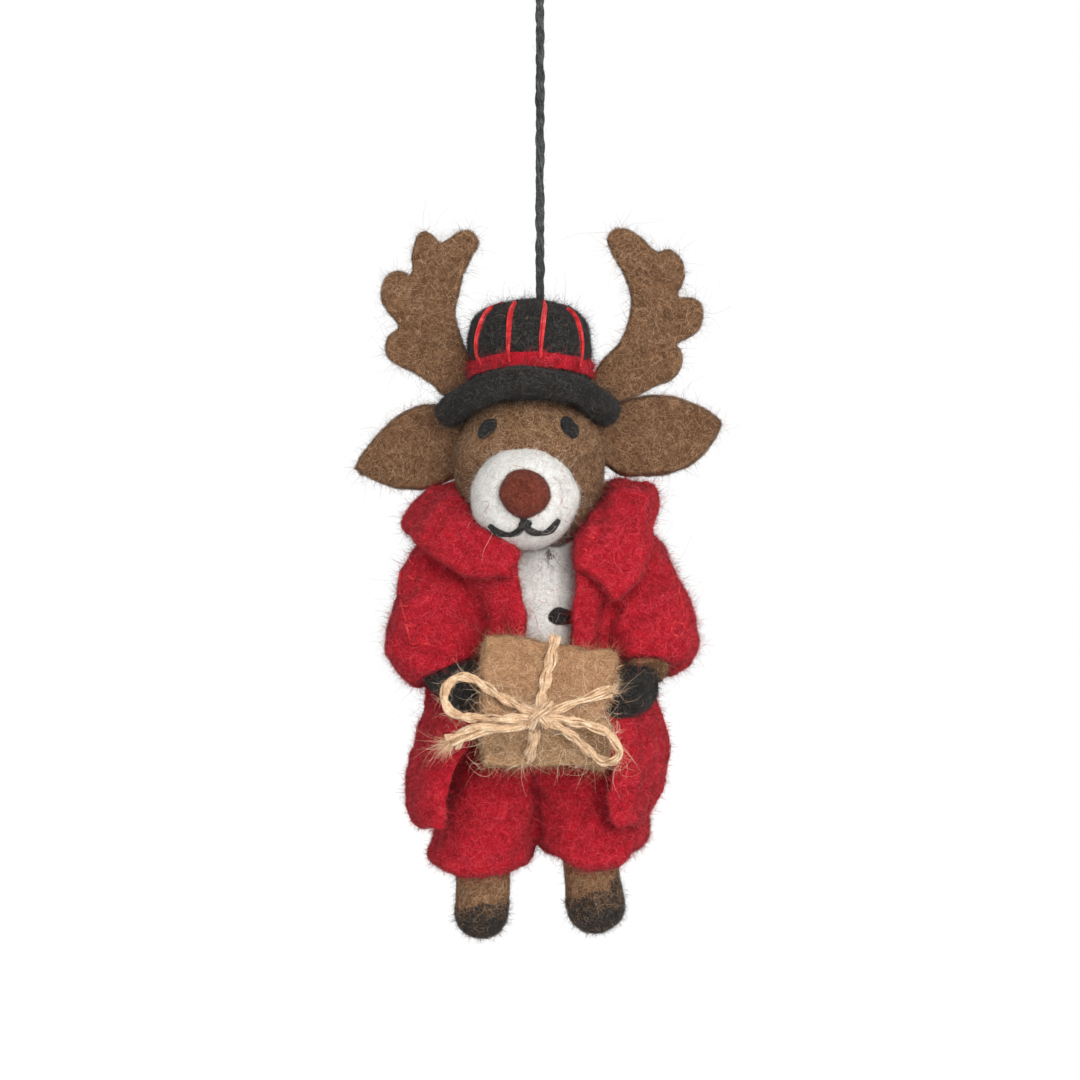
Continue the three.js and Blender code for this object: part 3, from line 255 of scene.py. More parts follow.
def ball(name, low, high, slot, kind):
    """An egg that fills a box."""
    low, high = Vector(low), Vector(high)
    sphere = bmesh.new()
    bmesh.ops.create_icosphere(sphere, subdivisions=BALL_CUTS[kind], radius=1)
    middle, half = (low + high) / 2, (high - low) / 2
    for vertex in sphere.verts:
        vertex.co = middle + Vector(a * b for a, b in zip(vertex.co, half))
    return object_from(name, sphere, felts[slot])


def smooth_rows(rows, count):
    """Rows of numbers, evenly many more of them, on a smooth curve through the given ones."""
    rows = np.array(rows, float)
    ends = np.vstack([2 * rows[0] - rows[1], rows, 2 * rows[-1] - rows[-2]])
    at = np.linspace(0, len(rows) - 1, count)
    index = np.minimum(at.astype(int), len(rows) - 2)
    t = (at - index)[:, None]
    p0, p1, p2, p3 = (ends[index + i] for i in range(4))
    square, cube = 2 * p0 - 5 * p1 + 4 * p2 - p3, 3 * p1 - p0 - 3 * p2 + p3
    return (2 * p1 + (p2 - p0) * t + square * t**2 + cube * t**3) / 2


LOFT_SIDES = 56
LOFT_RINGS = 40
LOFT_POWER = 0.85  # 1 is an ellipse, less is squarer
LOFT_VALUES = 8
LEAST_HOLLOW_SHARE = 0.2  # of a tube's half width


def lofted_points(rows):
    """Rings between a left and a right place on the photograph. Each row has those two places, then in
    millimetres the middle's y, half the depth, how much lower the back is, and how much lower the middle. The
    last two are 0 where they are left out."""
    turns = np.arange(LOFT_SIDES) / LOFT_SIDES * 2 * math.pi
    across = np.sign(np.cos(turns)) * np.abs(np.cos(turns)) ** LOFT_POWER
    back = np.sign(np.sin(turns)) * np.abs(np.sin(turns)) ** LOFT_POWER
    rings = []
    for row in smooth_rows([(*row, 0, 0)[:LOFT_VALUES] for row in rows], LOFT_RINGS):
        left, right = place_at(row[0], row[1]), place_at(row[2], row[3])
        share = (1 + across) / 2
        x = left.x + (right.x - left.x) * share
        z = left.z + (right.z - left.z) * share - row[6] * MM * back - row[7] * MM * (1 - across**2)
        rings.append(np.stack([x, (row[4] + row[5] * back) * MM, z], axis=1))
    return np.array(rings)


def grid_faces(rows, columns, rows_closed=False, columns_closed=True):
    """Quads between rows of points, and back to the first row or column where they are closed."""
    row = np.arange(rows if rows_closed else rows - 1)[:, None]
    column = np.arange(columns if columns_closed else columns - 1)[None, :]
    after, beside = (row + 1) % rows * columns, (column + 1) % columns
    quads = [row * columns + column, row * columns + beside, after + beside, after + column]
    return np.stack(quads, axis=-1).reshape(-1, 4)


def tube_of_cloth(node, rows_of_tubes):
    """Tubes of thick cloth, open at both ends, grown into one piece."""
    points, faces, first = [], [], 0
    for rows in rows_of_tubes:
        outside = lofted_points(rows)
        middle = outside.mean(axis=1, keepdims=True)
        radius = np.linalg.norm((outside - middle)[:, :, :2], axis=2, keepdims=True)
        inside = middle + (outside - middle) * np.maximum(1 - CLOTH_WALL / radius, LEAST_HOLLOW_SHARE)
        rings = np.concatenate([outside, inside[::-1]])
        points.append(rings.reshape(-1, 3))
        faces.append(grid_faces(len(rings), LOFT_SIDES, True) + first)
        first += len(points[-1])
    obj = mesh_object(node + "_cloth", np.concatenate(points), np.concatenate(faces), felts["red_felt"])
    return remeshed(obj, node)


SHEET_COLUMNS = 32
OUTLINE_STEPS = 6  # from one point of an outline to the next


def thicken(obj, wall):
    solidify = obj.modifiers.new("thicken", "SOLIDIFY")
    solidify.thickness = wall
    solidify.offset = 0


def sheet_of_cloth(node, ending, rows, wall, slot):
    """A thick sheet. Each row has its two ends on the photograph, then the y of its start, its middle and its
    end in millimetres."""
    share = np.linspace(0, 1, SHEET_COLUMNS)
    lines = []
    for row in smooth_rows(rows, LOFT_RINGS):
        start, end = place_at(row[0], row[1]), place_at(row[2], row[3])
        bend = (2 * share - 1) * (share - 1) * row[4] + 4 * share * (1 - share) * row[5]
        bend += share * (2 * share - 1) * row[6]
        x, z = start.x + (end.x - start.x) * share, start.z + (end.z - start.z) * share
        lines.append(np.stack([x, bend * MM, z], axis=1))
    faces = grid_faces(LOFT_RINGS, SHEET_COLUMNS, columns_closed=False)
    obj = mesh_object(f"{node}_{ending}", np.concatenate(lines), faces, felts[slot])
    thicken(obj, wall)
    return remeshed(obj, node)


def closed_loft(node, rows, slot):
    """A stuffed form with rings like a tube's and closed ends."""
    rings = lofted_points(rows)
    points = np.concatenate([rings.reshape(-1, 3), rings[[0, -1]].mean(axis=1)])
    quads = grid_faces(len(rings), LOFT_SIDES)
    side = np.arange(LOFT_SIDES)
    beside = (side + 1) % LOFT_SIDES
    last = (len(rings) - 1) * LOFT_SIDES
    start = np.stack([np.full(LOFT_SIDES, len(points) - 2), beside, side], axis=1)
    end = np.stack([np.full(LOFT_SIDES, len(points) - 1), side + last, beside + last], axis=1)
    faces = np.concatenate([quads[:, :3], quads[:, [0, 2, 3]], start, end])
    return remeshed(mesh_object(node + "_wool", points, faces, felts[slot]), node)


def flat_felt(node, outline, y, wall, slot):
    """A flat piece cut from felt, with its outline on the photograph."""
    shape = bmesh.new()
    places = places_at(smooth_rows([*outline, outline[0]], len(outline) * OUTLINE_STEPS)[:-1])
    shape.faces.new([shape.verts.new((x, y, z)) for x, _, z in places])
    obj = object_from(node + "_cut", shape, felts[slot])
    thicken(obj, wall)
    return remeshed(obj, node)


SEED_STEP = 17.3  # from one seed's noise to the next one's


def noise_at(points, size, seed):
    return np.array([noise.noise(place) for place in (points / size + seed * SEED_STEP).tolist()])


def swell(obj, amount):
    set_points(obj, points_of(obj) + normals_of(obj) * amount)


def crumple(obj, node):
    """Lumps in and out of the surface."""
    for step, (depth, size) in enumerate(LUMPS.get(kind_of(node), CLOTH_LUMPS)):
        amount = noise_at(points_of(obj), size * MM, SEEDS[node] + step) * (depth * MM)
        swell(obj, amount[:, None])


def away_from(points, route):
    """How far points are from a line of corners."""
    nearest = np.full(len(points), np.inf)
    for start, end in zip(route, route[1:]):
        run = end - start
        share = np.clip((points - start) @ run / (run @ run), 0, 1)
        nearest = np.minimum(nearest, np.linalg.norm(points - start - share[:, None] * run, axis=1))
    return nearest


FLAT = np.array((1, 0, 1))  # the picture plane


def furrow(obj, pixels, depth, width):
    """Presses a groove into the front along a line on the photograph."""
    points, normals = points_of(obj), normals_of(obj)
    away = away_from(points * FLAT, places_at(pixels))
    weight = np.exp(-((away / width) ** 2)) * np.clip(-normals[:, 1], 0, 1)
    set_points(obj, points - normals * (depth * weight)[:, None])


def nearness(points, places, reach):
    """How near points are to some places in the picture plane: 1 is on one."""
    away = np.linalg.norm((points[:, None] - places) * FLAT, axis=2)
    return np.exp(-((away / reach) ** 2))


def drag(obj, moves, reach):
    """Moves parts of a piece over the picture plane, each from one place on the photograph to another."""
    moves = np.array(moves, float)
    starts, ends = places_at(moves[:, :2]), places_at(moves[:, 2:])
    pulls = np.linalg.solve(nearness(starts, starts, reach), ends - starts)
    points = points_of(obj)
    set_points(obj, points + nearness(points, starts, reach) @ pulls)


def push(obj, places, reach):
    """Moves parts of a piece along Y, around places on the photograph, by millimetres."""
    points = points_of(obj)
    places = np.array(places, float)
    points[:, 1] += nearness(points, places_at(places[:, :2]), reach) @ places[:, 2] * MM
    set_points(obj, points)


def tree_of(*objs):
    points, faces, first = [], [], 0
    for obj in objs:
        points += [tuple(vertex.co) for vertex in obj.data.vertices]
        faces += [[first + corner for corner in face.vertices] for face in obj.data.polygons]
        first = len(points)
    return BVHTree.FromPolygons(points, faces)


VIEWER_Y = -1  # well in front of the figure
BESIDE_Y = -27 * MM  # where the nearest place on a surface is looked for from


def on_front(tree, px, py, lift=0.0):
    """What a viewer in front sees at a place on the photograph, lifted off the surface, and the way out of
    it. Beside the surface it is as far back as the nearest place on it."""
    start = place_at(px, py, VIEWER_Y)
    place, normal, _, _ = tree.ray_cast(start, Vector((0, 1, 0)))
    if place is None:
        near, normal, _, _ = tree.find_nearest(place_at(px, py, BESIDE_Y))
        return Vector((start.x, near.y - lift, start.z)), normal
    return place + normal * lift, normal


# Fibres


def triangles_of(obj):
    """The corners of a piece's triangles, and the number of the face that each belongs to."""
    mesh = obj.data
    mesh.calc_loop_triangles()
    corners = values_of(mesh.loop_triangles, "vertices", 3, np.int32)
    return points_of(obj)[corners], values_of(mesh.loop_triangles, "polygon_index", 1, np.int32)[:, 0]


def unit(vectors):
    return vectors / np.maximum(np.linalg.norm(vectors, axis=-1, keepdims=True), 1e-12)


def random_units(count):
    return unit(rng.normal(size=(count, 3)))


def square_to(vectors, ways):
    """What is left of some vectors square to other ones, at length 1."""
    return unit(vectors - ways * np.sum(vectors * ways, axis=-1, keepdims=True))


FACING_SPREAD = 0.7  # how far a fibre's flat side may turn away from the felt
TIP_SHARE = 0.2  # of a fibre's width at its root


def ribbons(name, paths, widths, shades, material, ups=None):
    """Fibres as flat strips that taper to their tips. paths is fibres by points by 3, and ups the way out of
    the felt along them."""
    count, steps, _ = paths.shape
    tangents = unit(np.gradient(paths, axis=1))
    facing = random_units(count)[:, None]
    if ups is not None:
        facing = unit(ups + facing * FACING_SPREAD)
    sides = unit(np.cross(tangents, facing))
    taper = np.linspace(1, TIP_SHARE, steps)
    offsets = sides * (widths[:, None] * taper)[:, :, None] / 2
    points = np.stack([paths - offsets, paths + offsets], axis=2).reshape(-1, 3)
    first = (np.arange(count)[:, None] * steps + np.arange(steps - 1)) * 2
    faces = np.stack([first, first + 1, first + 3, first + 2], axis=-1).reshape(-1, 4)
    obj = mesh_object(name, points, faces, material)
    attribute = obj.data.attributes.new("shade", "FLOAT", "POINT")
    attribute.data.foreach_set("value", np.repeat(shades, steps * 2).astype(np.float32))
    if ups is not None:
        own = unit(np.cross(sides, tangents))
        own *= np.sign(np.sum(own * ups, axis=2, keepdims=True))
        shading = unit(own * (1 - NORMAL_SHARE) + ups * NORMAL_SHARE)
        obj.data.normals_split_custom_set_from_vertices(np.repeat(shading.reshape(-1, 3), 2, axis=0))
    return obj


def grown(roots, ways, lengths, curl, steps):
    """The paths of fibres that start one way and bend at random."""
    direction = ways
    turn = random_units(len(roots)) * curl
    path = [roots]
    for _ in range(steps):
        path.append(path[-1] + direction * (lengths / steps)[:, None])
        direction = unit(direction + turn + random_units(len(roots)) * curl / 2)
    return np.stack(path, axis=1)


def lain(tree, roots, ups, lengths, curl, steps):
    """The paths of fibres that wind over a surface, and the way out of it along them."""
    ways = square_to(random_units(len(roots)), ups)
    turns = rng.normal(0, curl, len(roots))
    lifts = rng.uniform(*MATTED_LIFTS, (len(roots), 1)) * MM
    path, outs = [roots], [ups]
    for _ in range(steps):
        places = path[-1] + ways * (lengths / steps)[:, None]
        hits = np.array([(*near, *out) for near, out, _, _ in map(tree.find_nearest, places.tolist())])
        out = hits[:, 3:]
        path.append(hits[:, :3] + out * lifts)
        outs.append(out)
        ways = square_to(ways + np.cross(out, ways) * turns[:, None], out)
        turns = turns + rng.normal(0, curl / 2, len(roots))
    return np.stack(path, axis=1), np.stack(outs, axis=1)


SIGHT_SIDES = [(0, 0, 0), (0, -1, 0), (-1, 0, 0), (1, 0, 0), (0, 0, -1), (0, 0, 1), (0, 1, 0)]
SIGHT_LEAN = 0.9  # how far a look out of a face leans to one of those sides
SIGHT_START = 0.2 * MM
SIGHT_REACH = 30 * MM
HIDDEN_SHARE = 0.15  # of the fibres, where nothing can be seen


def seen_shares(mesh, tree):
    """For each face 1 where it is open to one of a few sides, and little where it is shut in."""
    normals = values_of(mesh.polygons, "normal")
    starts = values_of(mesh.polygons, "center") + normals * SIGHT_START
    shares = np.full(len(starts), HIDDEN_SHARE)
    left = np.arange(len(starts))
    for side in SIGHT_SIDES:
        ways = unit(normals[left] + np.array(side) * SIGHT_LEAN)
        casts = zip(starts[left].tolist(), ways.tolist())
        free = np.array([tree.ray_cast(start, way, SIGHT_REACH)[0] is None for start, way in casts], bool)
        shares[left[free]] = 1
        left = left[~free]
    return shares


def scattered(triangles, weights, density):
    """Random places on some triangles, with the normals there. The first number is the full count."""
    crosses = np.cross(triangles[:, 1] - triangles[:, 0], triangles[:, 2] - triangles[:, 0])
    areas = np.linalg.norm(crosses, axis=1) / 2 * weights
    full = math.ceil(areas.sum() / MM**2 * density)
    count = math.ceil(full * (1))
    chosen = rng.choice(len(areas), count, p=areas / areas.sum())
    a, b = rng.random((2, count, 1))
    a, b = np.where(a + b > 1, 1 - a, a), np.where(a + b > 1, 1 - b, b)
    corners = triangles[chosen]
    roots = corners[:, 0] + a * (corners[:, 1] - corners[:, 0]) + b * (corners[:, 2] - corners[:, 0])
    return full, roots, unit(crosses[chosen])


ROOT_DEPTH = 0.06 * MM
FIBRE_EVENNESS = 7  # of the fibres' lengths: more is more even
FIBRE_WIDTH_SHARES = (0.6, 1.25)
MIDDLE_TONE = 0.5


def fibre_layer(host, surface, ending, slot, layer, sizes, lift=1.0, above=-1.0):
    """Fibres on a piece, or on what is above a height of it."""
    tree, triangles, weights = surface
    density, length, width = sizes
    lifts, curl, steps, spread = LAYERS[layer]
    chosen = triangles[:, 0, 2] > above
    full, roots, ups = scattered(triangles[chosen], weights[chosen], density)
    count = len(roots)
    lengths = length * MM * rng.gamma(FIBRE_EVENNESS, 1 / FIBRE_EVENNESS, count)
    if lifts is None:
        paths, outs = lain(tree, roots, ups, lengths, curl, steps)
    else:
        low, high = lifts
        ways = unit(square_to(random_units(count), ups) + ups * rng.uniform(low, high * lift, (count, 1)))
        paths, outs = grown(roots - ups * ROOT_DEPTH, ways, lengths, curl, steps), ups[:, None]
    widths = width * MM * rng.uniform(*FIBRE_WIDTH_SHARES, count)
    shades = np.clip(rng.normal(MIDDLE_TONE, spread, count), 0, 1)
    parts = math.ceil(full * steps / FACES_AT_MOST)
    for part, some in enumerate(np.array_split(np.arange(count), parts), 1):
        name = f"{host.name}_{ending}_{part}" if parts > 1 else f"{host.name}_{ending}"
        stand_for(ribbons(name, paths[some], widths[some], shades[some], fibres[slot], outs[some]), slot)


hosts = []  # pieces that get fuzz, and how much and how long


def fuzz(host, slot, share=1.0, length_share=1.0, over=None):
    """Has wool grow on a piece once all pieces are there. over is a layer of other wool on it."""
    hosts.append((host, slot, share, length_share, over))


def grow_fuzz():
    """Matted fibres that lie on the felt, curls and a nap that stand up, and a few long loose ones."""
    everything = tree_of(*[host for host, *_ in hosts])
    for host, slot, share, length_share, over in hosts:
        triangles, owners = triangles_of(host)
        surface = tree_of(host), triangles, seen_shares(host.data, everything)[owners]
        density, length, width = STRAYS
        *sizes, lift = FUZZ[slot]
        matted, curls, nap = ((each * share, long * length_share, wide) for each, long, wide in sizes)
        fibre_layer(host, surface, "matted", slot, "matted", matted)
        fibre_layer(host, surface, "curls", slot, "curls", curls, lift)
        fibre_layer(host, surface, "nap", slot, "nap", nap, lift)
        fibre_layer(host, surface, "strays", slot, "strays", (density, length * length_share, width))
        if slot in MIGRANTS:
            other, density = MIGRANTS[slot]
            sizes = density * share, matted[1] * MIGRANT_LENGTH_SHARE, matted[2]
            fibre_layer(host, surface, other, other, "migrants", sizes)
        if over:
            other, density, above = over
            fibre_layer(host, surface, "over", other, "over", (density, *OVER_SIZE), above=above)


# Threads and twine


SPLINE_STEPS = 24  # from one point of a route to the next, to measure it by
SPLINE_LEAST = 12  # points on the curve
STEEP_SHARE = 0.9  # a curve that starts this much along Y is compared with X instead
END_SHARE = 0.1  # of a strand's radius, where it ends


def spline(route, step):
    """Evenly spaced points on a smooth curve through a route, and its length."""
    fine = smooth_rows([tuple(point) for point in route], len(route) * SPLINE_STEPS)
    run = np.concatenate([[0], np.cumsum(np.linalg.norm(np.diff(fine, axis=0), axis=1))])
    at = np.linspace(0, run[-1], max(SPLINE_LEAST, int(run[-1] / step)))
    return np.stack([np.interp(at, run, fine[:, axis]) for axis in range(3)], axis=1), run[-1]


def carried(points):
    """Two directions square to a curve that turn with it as little as they can."""
    tangents = unit(np.gradient(points, axis=0))
    start = np.array((0.0, -1.0, 0.0) if abs(tangents[0][1]) < STEEP_SHARE else (1.0, 0.0, 0.0))
    normal = square_to(start, tangents[0])
    normals = []
    for tangent in tangents:
        normal = square_to(normal, tangent)
        normals.append(normal)
    normals = np.array(normals)
    return normals, np.cross(tangents, normals)


def tubes(name, paths, radii, material, sides=6):
    """Round strands that follow paths, strands by points by 3, with their ends drawn in."""
    count, steps, _ = paths.shape
    shares = np.ones(steps)
    shares[0] = shares[-1] = END_SHARE
    turns = np.arange(sides) / sides * 2 * math.pi
    rings = []
    for path, radius in zip(paths, radii):
        normals, binormals = carried(path)
        ring = np.cos(turns)[:, None] * normals[:, None] + np.sin(turns)[:, None] * binormals[:, None]
        rings.append(path[:, None] + ring * (radius * shares)[:, None, None])
    faces = [grid_faces(steps, sides) + strand * steps * sides for strand in range(count)]
    return mesh_object(name, np.array(rings).reshape(-1, 3), np.concatenate(faces), material)


PLIES = 2
FEW_THREADS = 3
THICK_THREAD_SHARE = 0.5  # a thread's radius over its ply's, where there are few
THIN_THREAD_SHARE = 0.4
THREAD_RADIUS_SHARES = (0.8, 1.1)
THREAD_TURN_SHARE = 0.7  # how fast the threads turn back in a ply, of how fast the plies turn
WANDER_SHARE = 0.12  # how far a thread wanders in a step, of its radius
WANDER_BACK_SHARE = 0.9  # how much of that it has come back by the end
FRAY_START_SHARE = 0.6  # of the way to the far end
FRAY_POWER = 1.6


def twisted(route, diameter, threads, lay, step, loose, ply_share=0.3, fray=0.0):
    """Threads laid into two plies, and those into a twine: their paths and radii, and the twine's middle
    line. fray opens the far end, and ply_share is a ply's radius over the twine's diameter."""
    middle, length = spline(route, step)
    steps = len(middle)
    normals, binormals = carried(middle)
    run = np.linspace(0, length, steps)
    ply_radius = diameter * ply_share
    ply_reach = diameter / 2 - ply_radius
    thread_radius = ply_radius * (THICK_THREAD_SHARE if threads <= FEW_THREADS else THIN_THREAD_SHARE)
    thread_reach = ply_radius - thread_radius
    opening = np.clip((run / length - FRAY_START_SHARE) / (1 - FRAY_START_SHARE), 0, 1)
    spread = 1 + fray * opening**FRAY_POWER
    paths, radii = [], []
    for ply in range(PLIES):
        turn = 2 * math.pi * (run / lay + ply / PLIES)
        outward = np.cos(turn)[:, None] * normals + np.sin(turn)[:, None] * binormals
        centre = middle + outward * (ply_reach * spread)[:, None]
        for thread in range(threads):
            own = 2 * math.pi * (thread / threads - run / lay * THREAD_TURN_SHARE) + rng.normal() * loose
            around = np.cos(own)[:, None] * normals + np.sin(own)[:, None] * binormals
            steps_aside = rng.normal(size=(steps, 3))
            wander = np.cumsum(steps_aside, axis=0) * thread_radius * loose * WANDER_SHARE
            wander -= np.linspace(wander[0], wander[-1], steps) * WANDER_BACK_SHARE
            paths.append(centre + around * (thread_reach * spread)[:, None] + wander)
            radii.append(thread_radius * rng.uniform(*THREAD_RADIUS_SHARES))
    return np.array(paths), np.array(radii), middle


HAIR_REACH_SHARE = 0.4  # how far from a twine's middle a hair may start, of the twine's width
HAIR_STEPS = 5
HAIR_CURL = 0.25
HAIR_LEANS = (0.1, 0.9)  # how far a hair stands off the twine, at least and at most
HAIR_EVENNESS = 3  # of the hairs' lengths
HAIR_TONES = (0.6, 0.25)  # the middle one and their spread
LEAST_HAIRS = 4


def loose_hairs(name, middle, diameter, slot, per_mm, length, width, brush=0):
    """Fibres that stick out of a twine, and a brush of them at its far end."""
    run = np.linalg.norm(np.diff(middle, axis=0), axis=1).sum()
    count = max(LEAST_HAIRS, int(run / MM * per_mm * (1)))
    at = np.concatenate([rng.integers(0, len(middle), count), np.full(brush, len(middle) - 1)])
    tangents = unit(np.gradient(middle, axis=0))[at]
    outward = square_to(random_units(len(at)), tangents)
    roots = middle[at] + outward * diameter * HAIR_REACH_SHARE * rng.random((len(at), 1))
    along = np.concatenate([rng.choice([-1, 1], count), np.ones(brush)])[:, None]
    ways = unit(tangents * along + outward * rng.uniform(*HAIR_LEANS, (len(at), 1)))
    lengths = length * MM * rng.gamma(HAIR_EVENNESS, 1 / HAIR_EVENNESS, len(at))
    paths = grown(roots, ways, lengths, HAIR_CURL, HAIR_STEPS)
    shades = np.clip(rng.normal(*HAIR_TONES, len(at)), 0, 1)
    return ribbons(name, paths, np.full(len(at), width * MM), shades, fibres[slot])


def make_yarn(name, route, slot, diameter, twist, hairs=None, sides=6, node=None, body=FIGURE):
    """Twisted yarn along a route. twist is what twisted reads, and hairs what loose_hairs does."""
    paths, radii, middle = twisted(route, diameter, *twist)
    yarn = tubes(name, paths, radii, yarns[slot], sides)
    pieces = [yarn]
    if hairs:
        pieces.append(loose_hairs(name + "_hairs", middle, diameter, slot, *hairs))
    for piece in pieces:
        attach(piece, body)
    if node:
        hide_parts(node)
    return yarn, middle


def make_hairs(name, tree, pixels, lift, ways, lengths, curl, steps, tones, width, wool, slot):
    """Loose fibres that start at places on the photograph. ways is their mean direction and its spread."""
    count = len(pixels)
    roots = np.array([tuple(on_front(tree, px, py, lift)[0]) for px, py in pixels])
    starts = unit(rng.normal(*ways, (count, 3)))
    paths = grown(roots, starts, rng.uniform(*lengths, count) * MM, curl, steps)
    shades = rng.uniform(*tones, count)
    stand_for(ribbons(name, paths, np.full(count, width), shades, fibres[wool]), slot)


# Materials


class Graph:
    """The nodes of a material or a world, and a short way to add more."""

    def __init__(self, owner):
        owner.use_nodes = True
        self.nodes, self.links = owner.node_tree.nodes, owner.node_tree.links

    def set(self, node, inputs):
        """Sets sockets, by name or number, to a value or to the output that feeds them."""
        for key, value in inputs.items():
            if isinstance(value, bpy.types.NodeSocket):
                self.links.new(value, node.inputs[key])
            else:
                node.inputs[key].default_value = value

    def add(self, kind, inputs, **settings):
        node = self.nodes.new("ShaderNode" + kind)
        for setting, value in settings.items():
            setattr(node, setting, value)
        self.set(node, inputs)
        return node.outputs

    def noise(self, place, scale, detail, distortion=0.0):
        inputs = {"Scale": scale, "Detail": detail, "Distortion": distortion, "Vector": place}
        return self.add("TexNoise", inputs)["Fac"]

    def math(self, operation, *values):
        return self.add("Math", dict(enumerate(values)), operation=operation)[0]

    def vector_math(self, operation, *values):
        return self.add("VectorMath", dict(enumerate(values)), operation=operation)[0]

    def ramp(self, factor, shades, low, high):
        ramp = self.nodes.new("ShaderNodeValToRGB")
        stops = ramp.color_ramp.elements
        stops[0].position, stops[1].position = low, high
        stops.new((low + high) / 2)
        for stop, shade in zip(stops, shades):
            stop.color = (*linear(shade), 1)
        self.set(ramp, {"Fac": factor})
        return ramp.outputs["Color"]


SPECULAR = 0.15
SHEEN = 0.05
SHEEN_ROUGHNESS = 0.6


def wool_material(name, make_tone, shades, stops, roughness, strength=0.0, depth=0.0):
    """Wool with a tone from 0 to 1 that picks its shade. make_tone gives it, and what the relief follows."""
    material = bpy.data.materials.new(name)
    graph = Graph(material)
    shader = graph.nodes["Principled BSDF"]
    tone, height = make_tone(graph)
    graph.set(shader, {
        "Base Color": graph.ramp(tone, shades, *stops),
        "Roughness": roughness,
        "Specular IOR Level": SPECULAR,
        "Sheen Weight": SHEEN,
        "Sheen Roughness": SHEEN_ROUGHNESS,
    })
    if strength:
        bump = graph.add("Bump", {"Strength": strength, "Distance": depth, "Height": height})
        graph.set(shader, {"Normal": bump["Normal"]})
    return material


def blend(graph, patches, share, fine):
    return graph.math("MULTIPLY_ADD", fine, 1 - share, graph.math("MULTIPLY", patches, share))


STREAK_TURNS = ((0, 0, 0), (0, 1.0, 0.4), (0, 2.1, -0.5), (1.2, 0.5, 0))
STREAK_STRETCH = (0.1, 1, 1)
STREAK_SCALE = 3600
SWAY = (1.2 * MM,) * 3
SWAY_SCALE = 420
PATCH_SCALE = 330
FELT_PATCH_SHARE = 0.2
FELT_STOPS = (0.36, 0.86)
GRAIN = 3500
THREAD_PATCH_SHARE = 0.4
THREAD_STOPS = (0.3, 0.68)


def streaks(graph, place):
    """Matted fibres: fine bright streaks that cross each other and wander."""
    sway = graph.add("TexNoise", {"Scale": SWAY_SCALE, "Detail": 1, "Vector": place})["Color"]
    swayed = graph.vector_math("MULTIPLY_ADD", sway, SWAY, place)
    brightest = None
    for turn in STREAK_TURNS:
        turned = graph.add("Mapping", {"Rotation": turn, "Vector": swayed}, vector_type="TEXTURE")["Vector"]
        streak = graph.noise(graph.vector_math("MULTIPLY", turned, STREAK_STRETCH), STREAK_SCALE, 1)
        brightest = streak if brightest is None else graph.math("MAXIMUM", brightest, streak)
    return brightest


def felt_tone(graph):
    """Patches of tone and crossing fibres."""
    place = graph.add("TexCoord", {})["Object"]
    patches = graph.noise(place, PATCH_SCALE, 2)
    fine = streaks(graph, place)
    return blend(graph, patches, FELT_PATCH_SHARE, fine), fine


def thread_tone(graph):
    """Spun fibres."""
    place = graph.add("TexCoord", {})["Object"]
    fine = graph.noise(place, GRAIN, 3, 1.5)
    return blend(graph, graph.noise(place, GRAIN / 6, 2), THREAD_PATCH_SHARE, fine), fine


def fibre_tone(graph):
    """The tone that each fibre was given."""
    return graph.add("Attribute", {}, attribute_name="shade")["Fac"], None


def felt_material(name, shades):
    return wool_material(name, felt_tone, shades, FELT_STOPS, 0.95, 0.6, 0.2 * MM)


def thread_material(name, shades):
    return wool_material(name, thread_tone, shades, THREAD_STOPS, 0.7, 0.4, 0.1 * MM)


def fibre_material(name, shades):
    return wool_material(name, fibre_tone, shades, (0.0, 1.0), 0.8)


felts = {slot: felt_material(slot, SHADES[slot]) for slot in FUZZ}
yarns = {slot: thread_material(slot, SHADES[slot]) for slot in ("red_floss", "jute", "dark_cord")}
yarns["black_felt"] = thread_material("black_yarn", SHADES["black_felt"])
yarns["red_felt"] = thread_material("red_thread", SHADES["red_floss"])
fibres = {slot: fibre_material(slot + "_fibres", shades) for slot, shades in SHADES.items()}


# Putting pieces on the figure


def stand_for(obj, slot, *nodes):
    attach(obj, FIGURE)
    if nodes:
        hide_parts(*nodes)
    return obj


def stuffed(obj, node, slot, share=1.0, length_share=1.0, over=None):
    stand_for(obj, slot, node)
    fuzz(obj, slot, share, length_share, over)
    return obj


def stuffed_copy(node, slot):
    obj = soft_copy(node, slot)
    crumple(obj, node)
    return stuffed(obj, node, slot)


# Head

MUZZLE_RISE = 1.0 * MM  # over its solid
MUZZLE_DEPTH = 16 * MM
NOSE_DROP = 0.7 * MM
NOSE_DEPTH = 8 * MM
NOSE_TAPER_SHARE = 0.3  # how much narrower its lower end is
NOSE_LENGTH_SHARE = 0.75  # of the wool's
EYE_LEFT = ((478, 438.5), (498, 420.5), 1.75)  # foot and top on the photograph, and half the width
EYE_RIGHT = ((576, 439.5), (562, 418.5), 1.75)
EYE_THICK = 0.75
EYE_LIFT = 0.1 * MM
PAINTED_LIGHT_ABOVE = 455  # tan wool laid over the head above this on the photograph is painted light on its upper part
MOUTH_MIDDLE = [(523.5, 511), (524, 519), (526, 527)]
MOUTH_LEFT = [(527, 521), (519, 530.5), (509, 533.5), (499, 531), (491, 524)]
MOUTH_RIGHT = [(523, 524), (531, 530.5), (541, 532.5), (551, 528), (558, 519)]
MOUTH_CORNER = (525, 524)
MOUTH_CORNER_HALVES = (1.3, 0.5, 1.2)
MOUTH_YARN = 1.45 * MM
MOUTH_LAY = 9 * MM
YARN_STEP = 0.2 * MM
YARN_LOOSE = 0.15  # how unevenly its threads lie
YARN_HAIR = (0.9, 0.05)  # length and width in millimetres


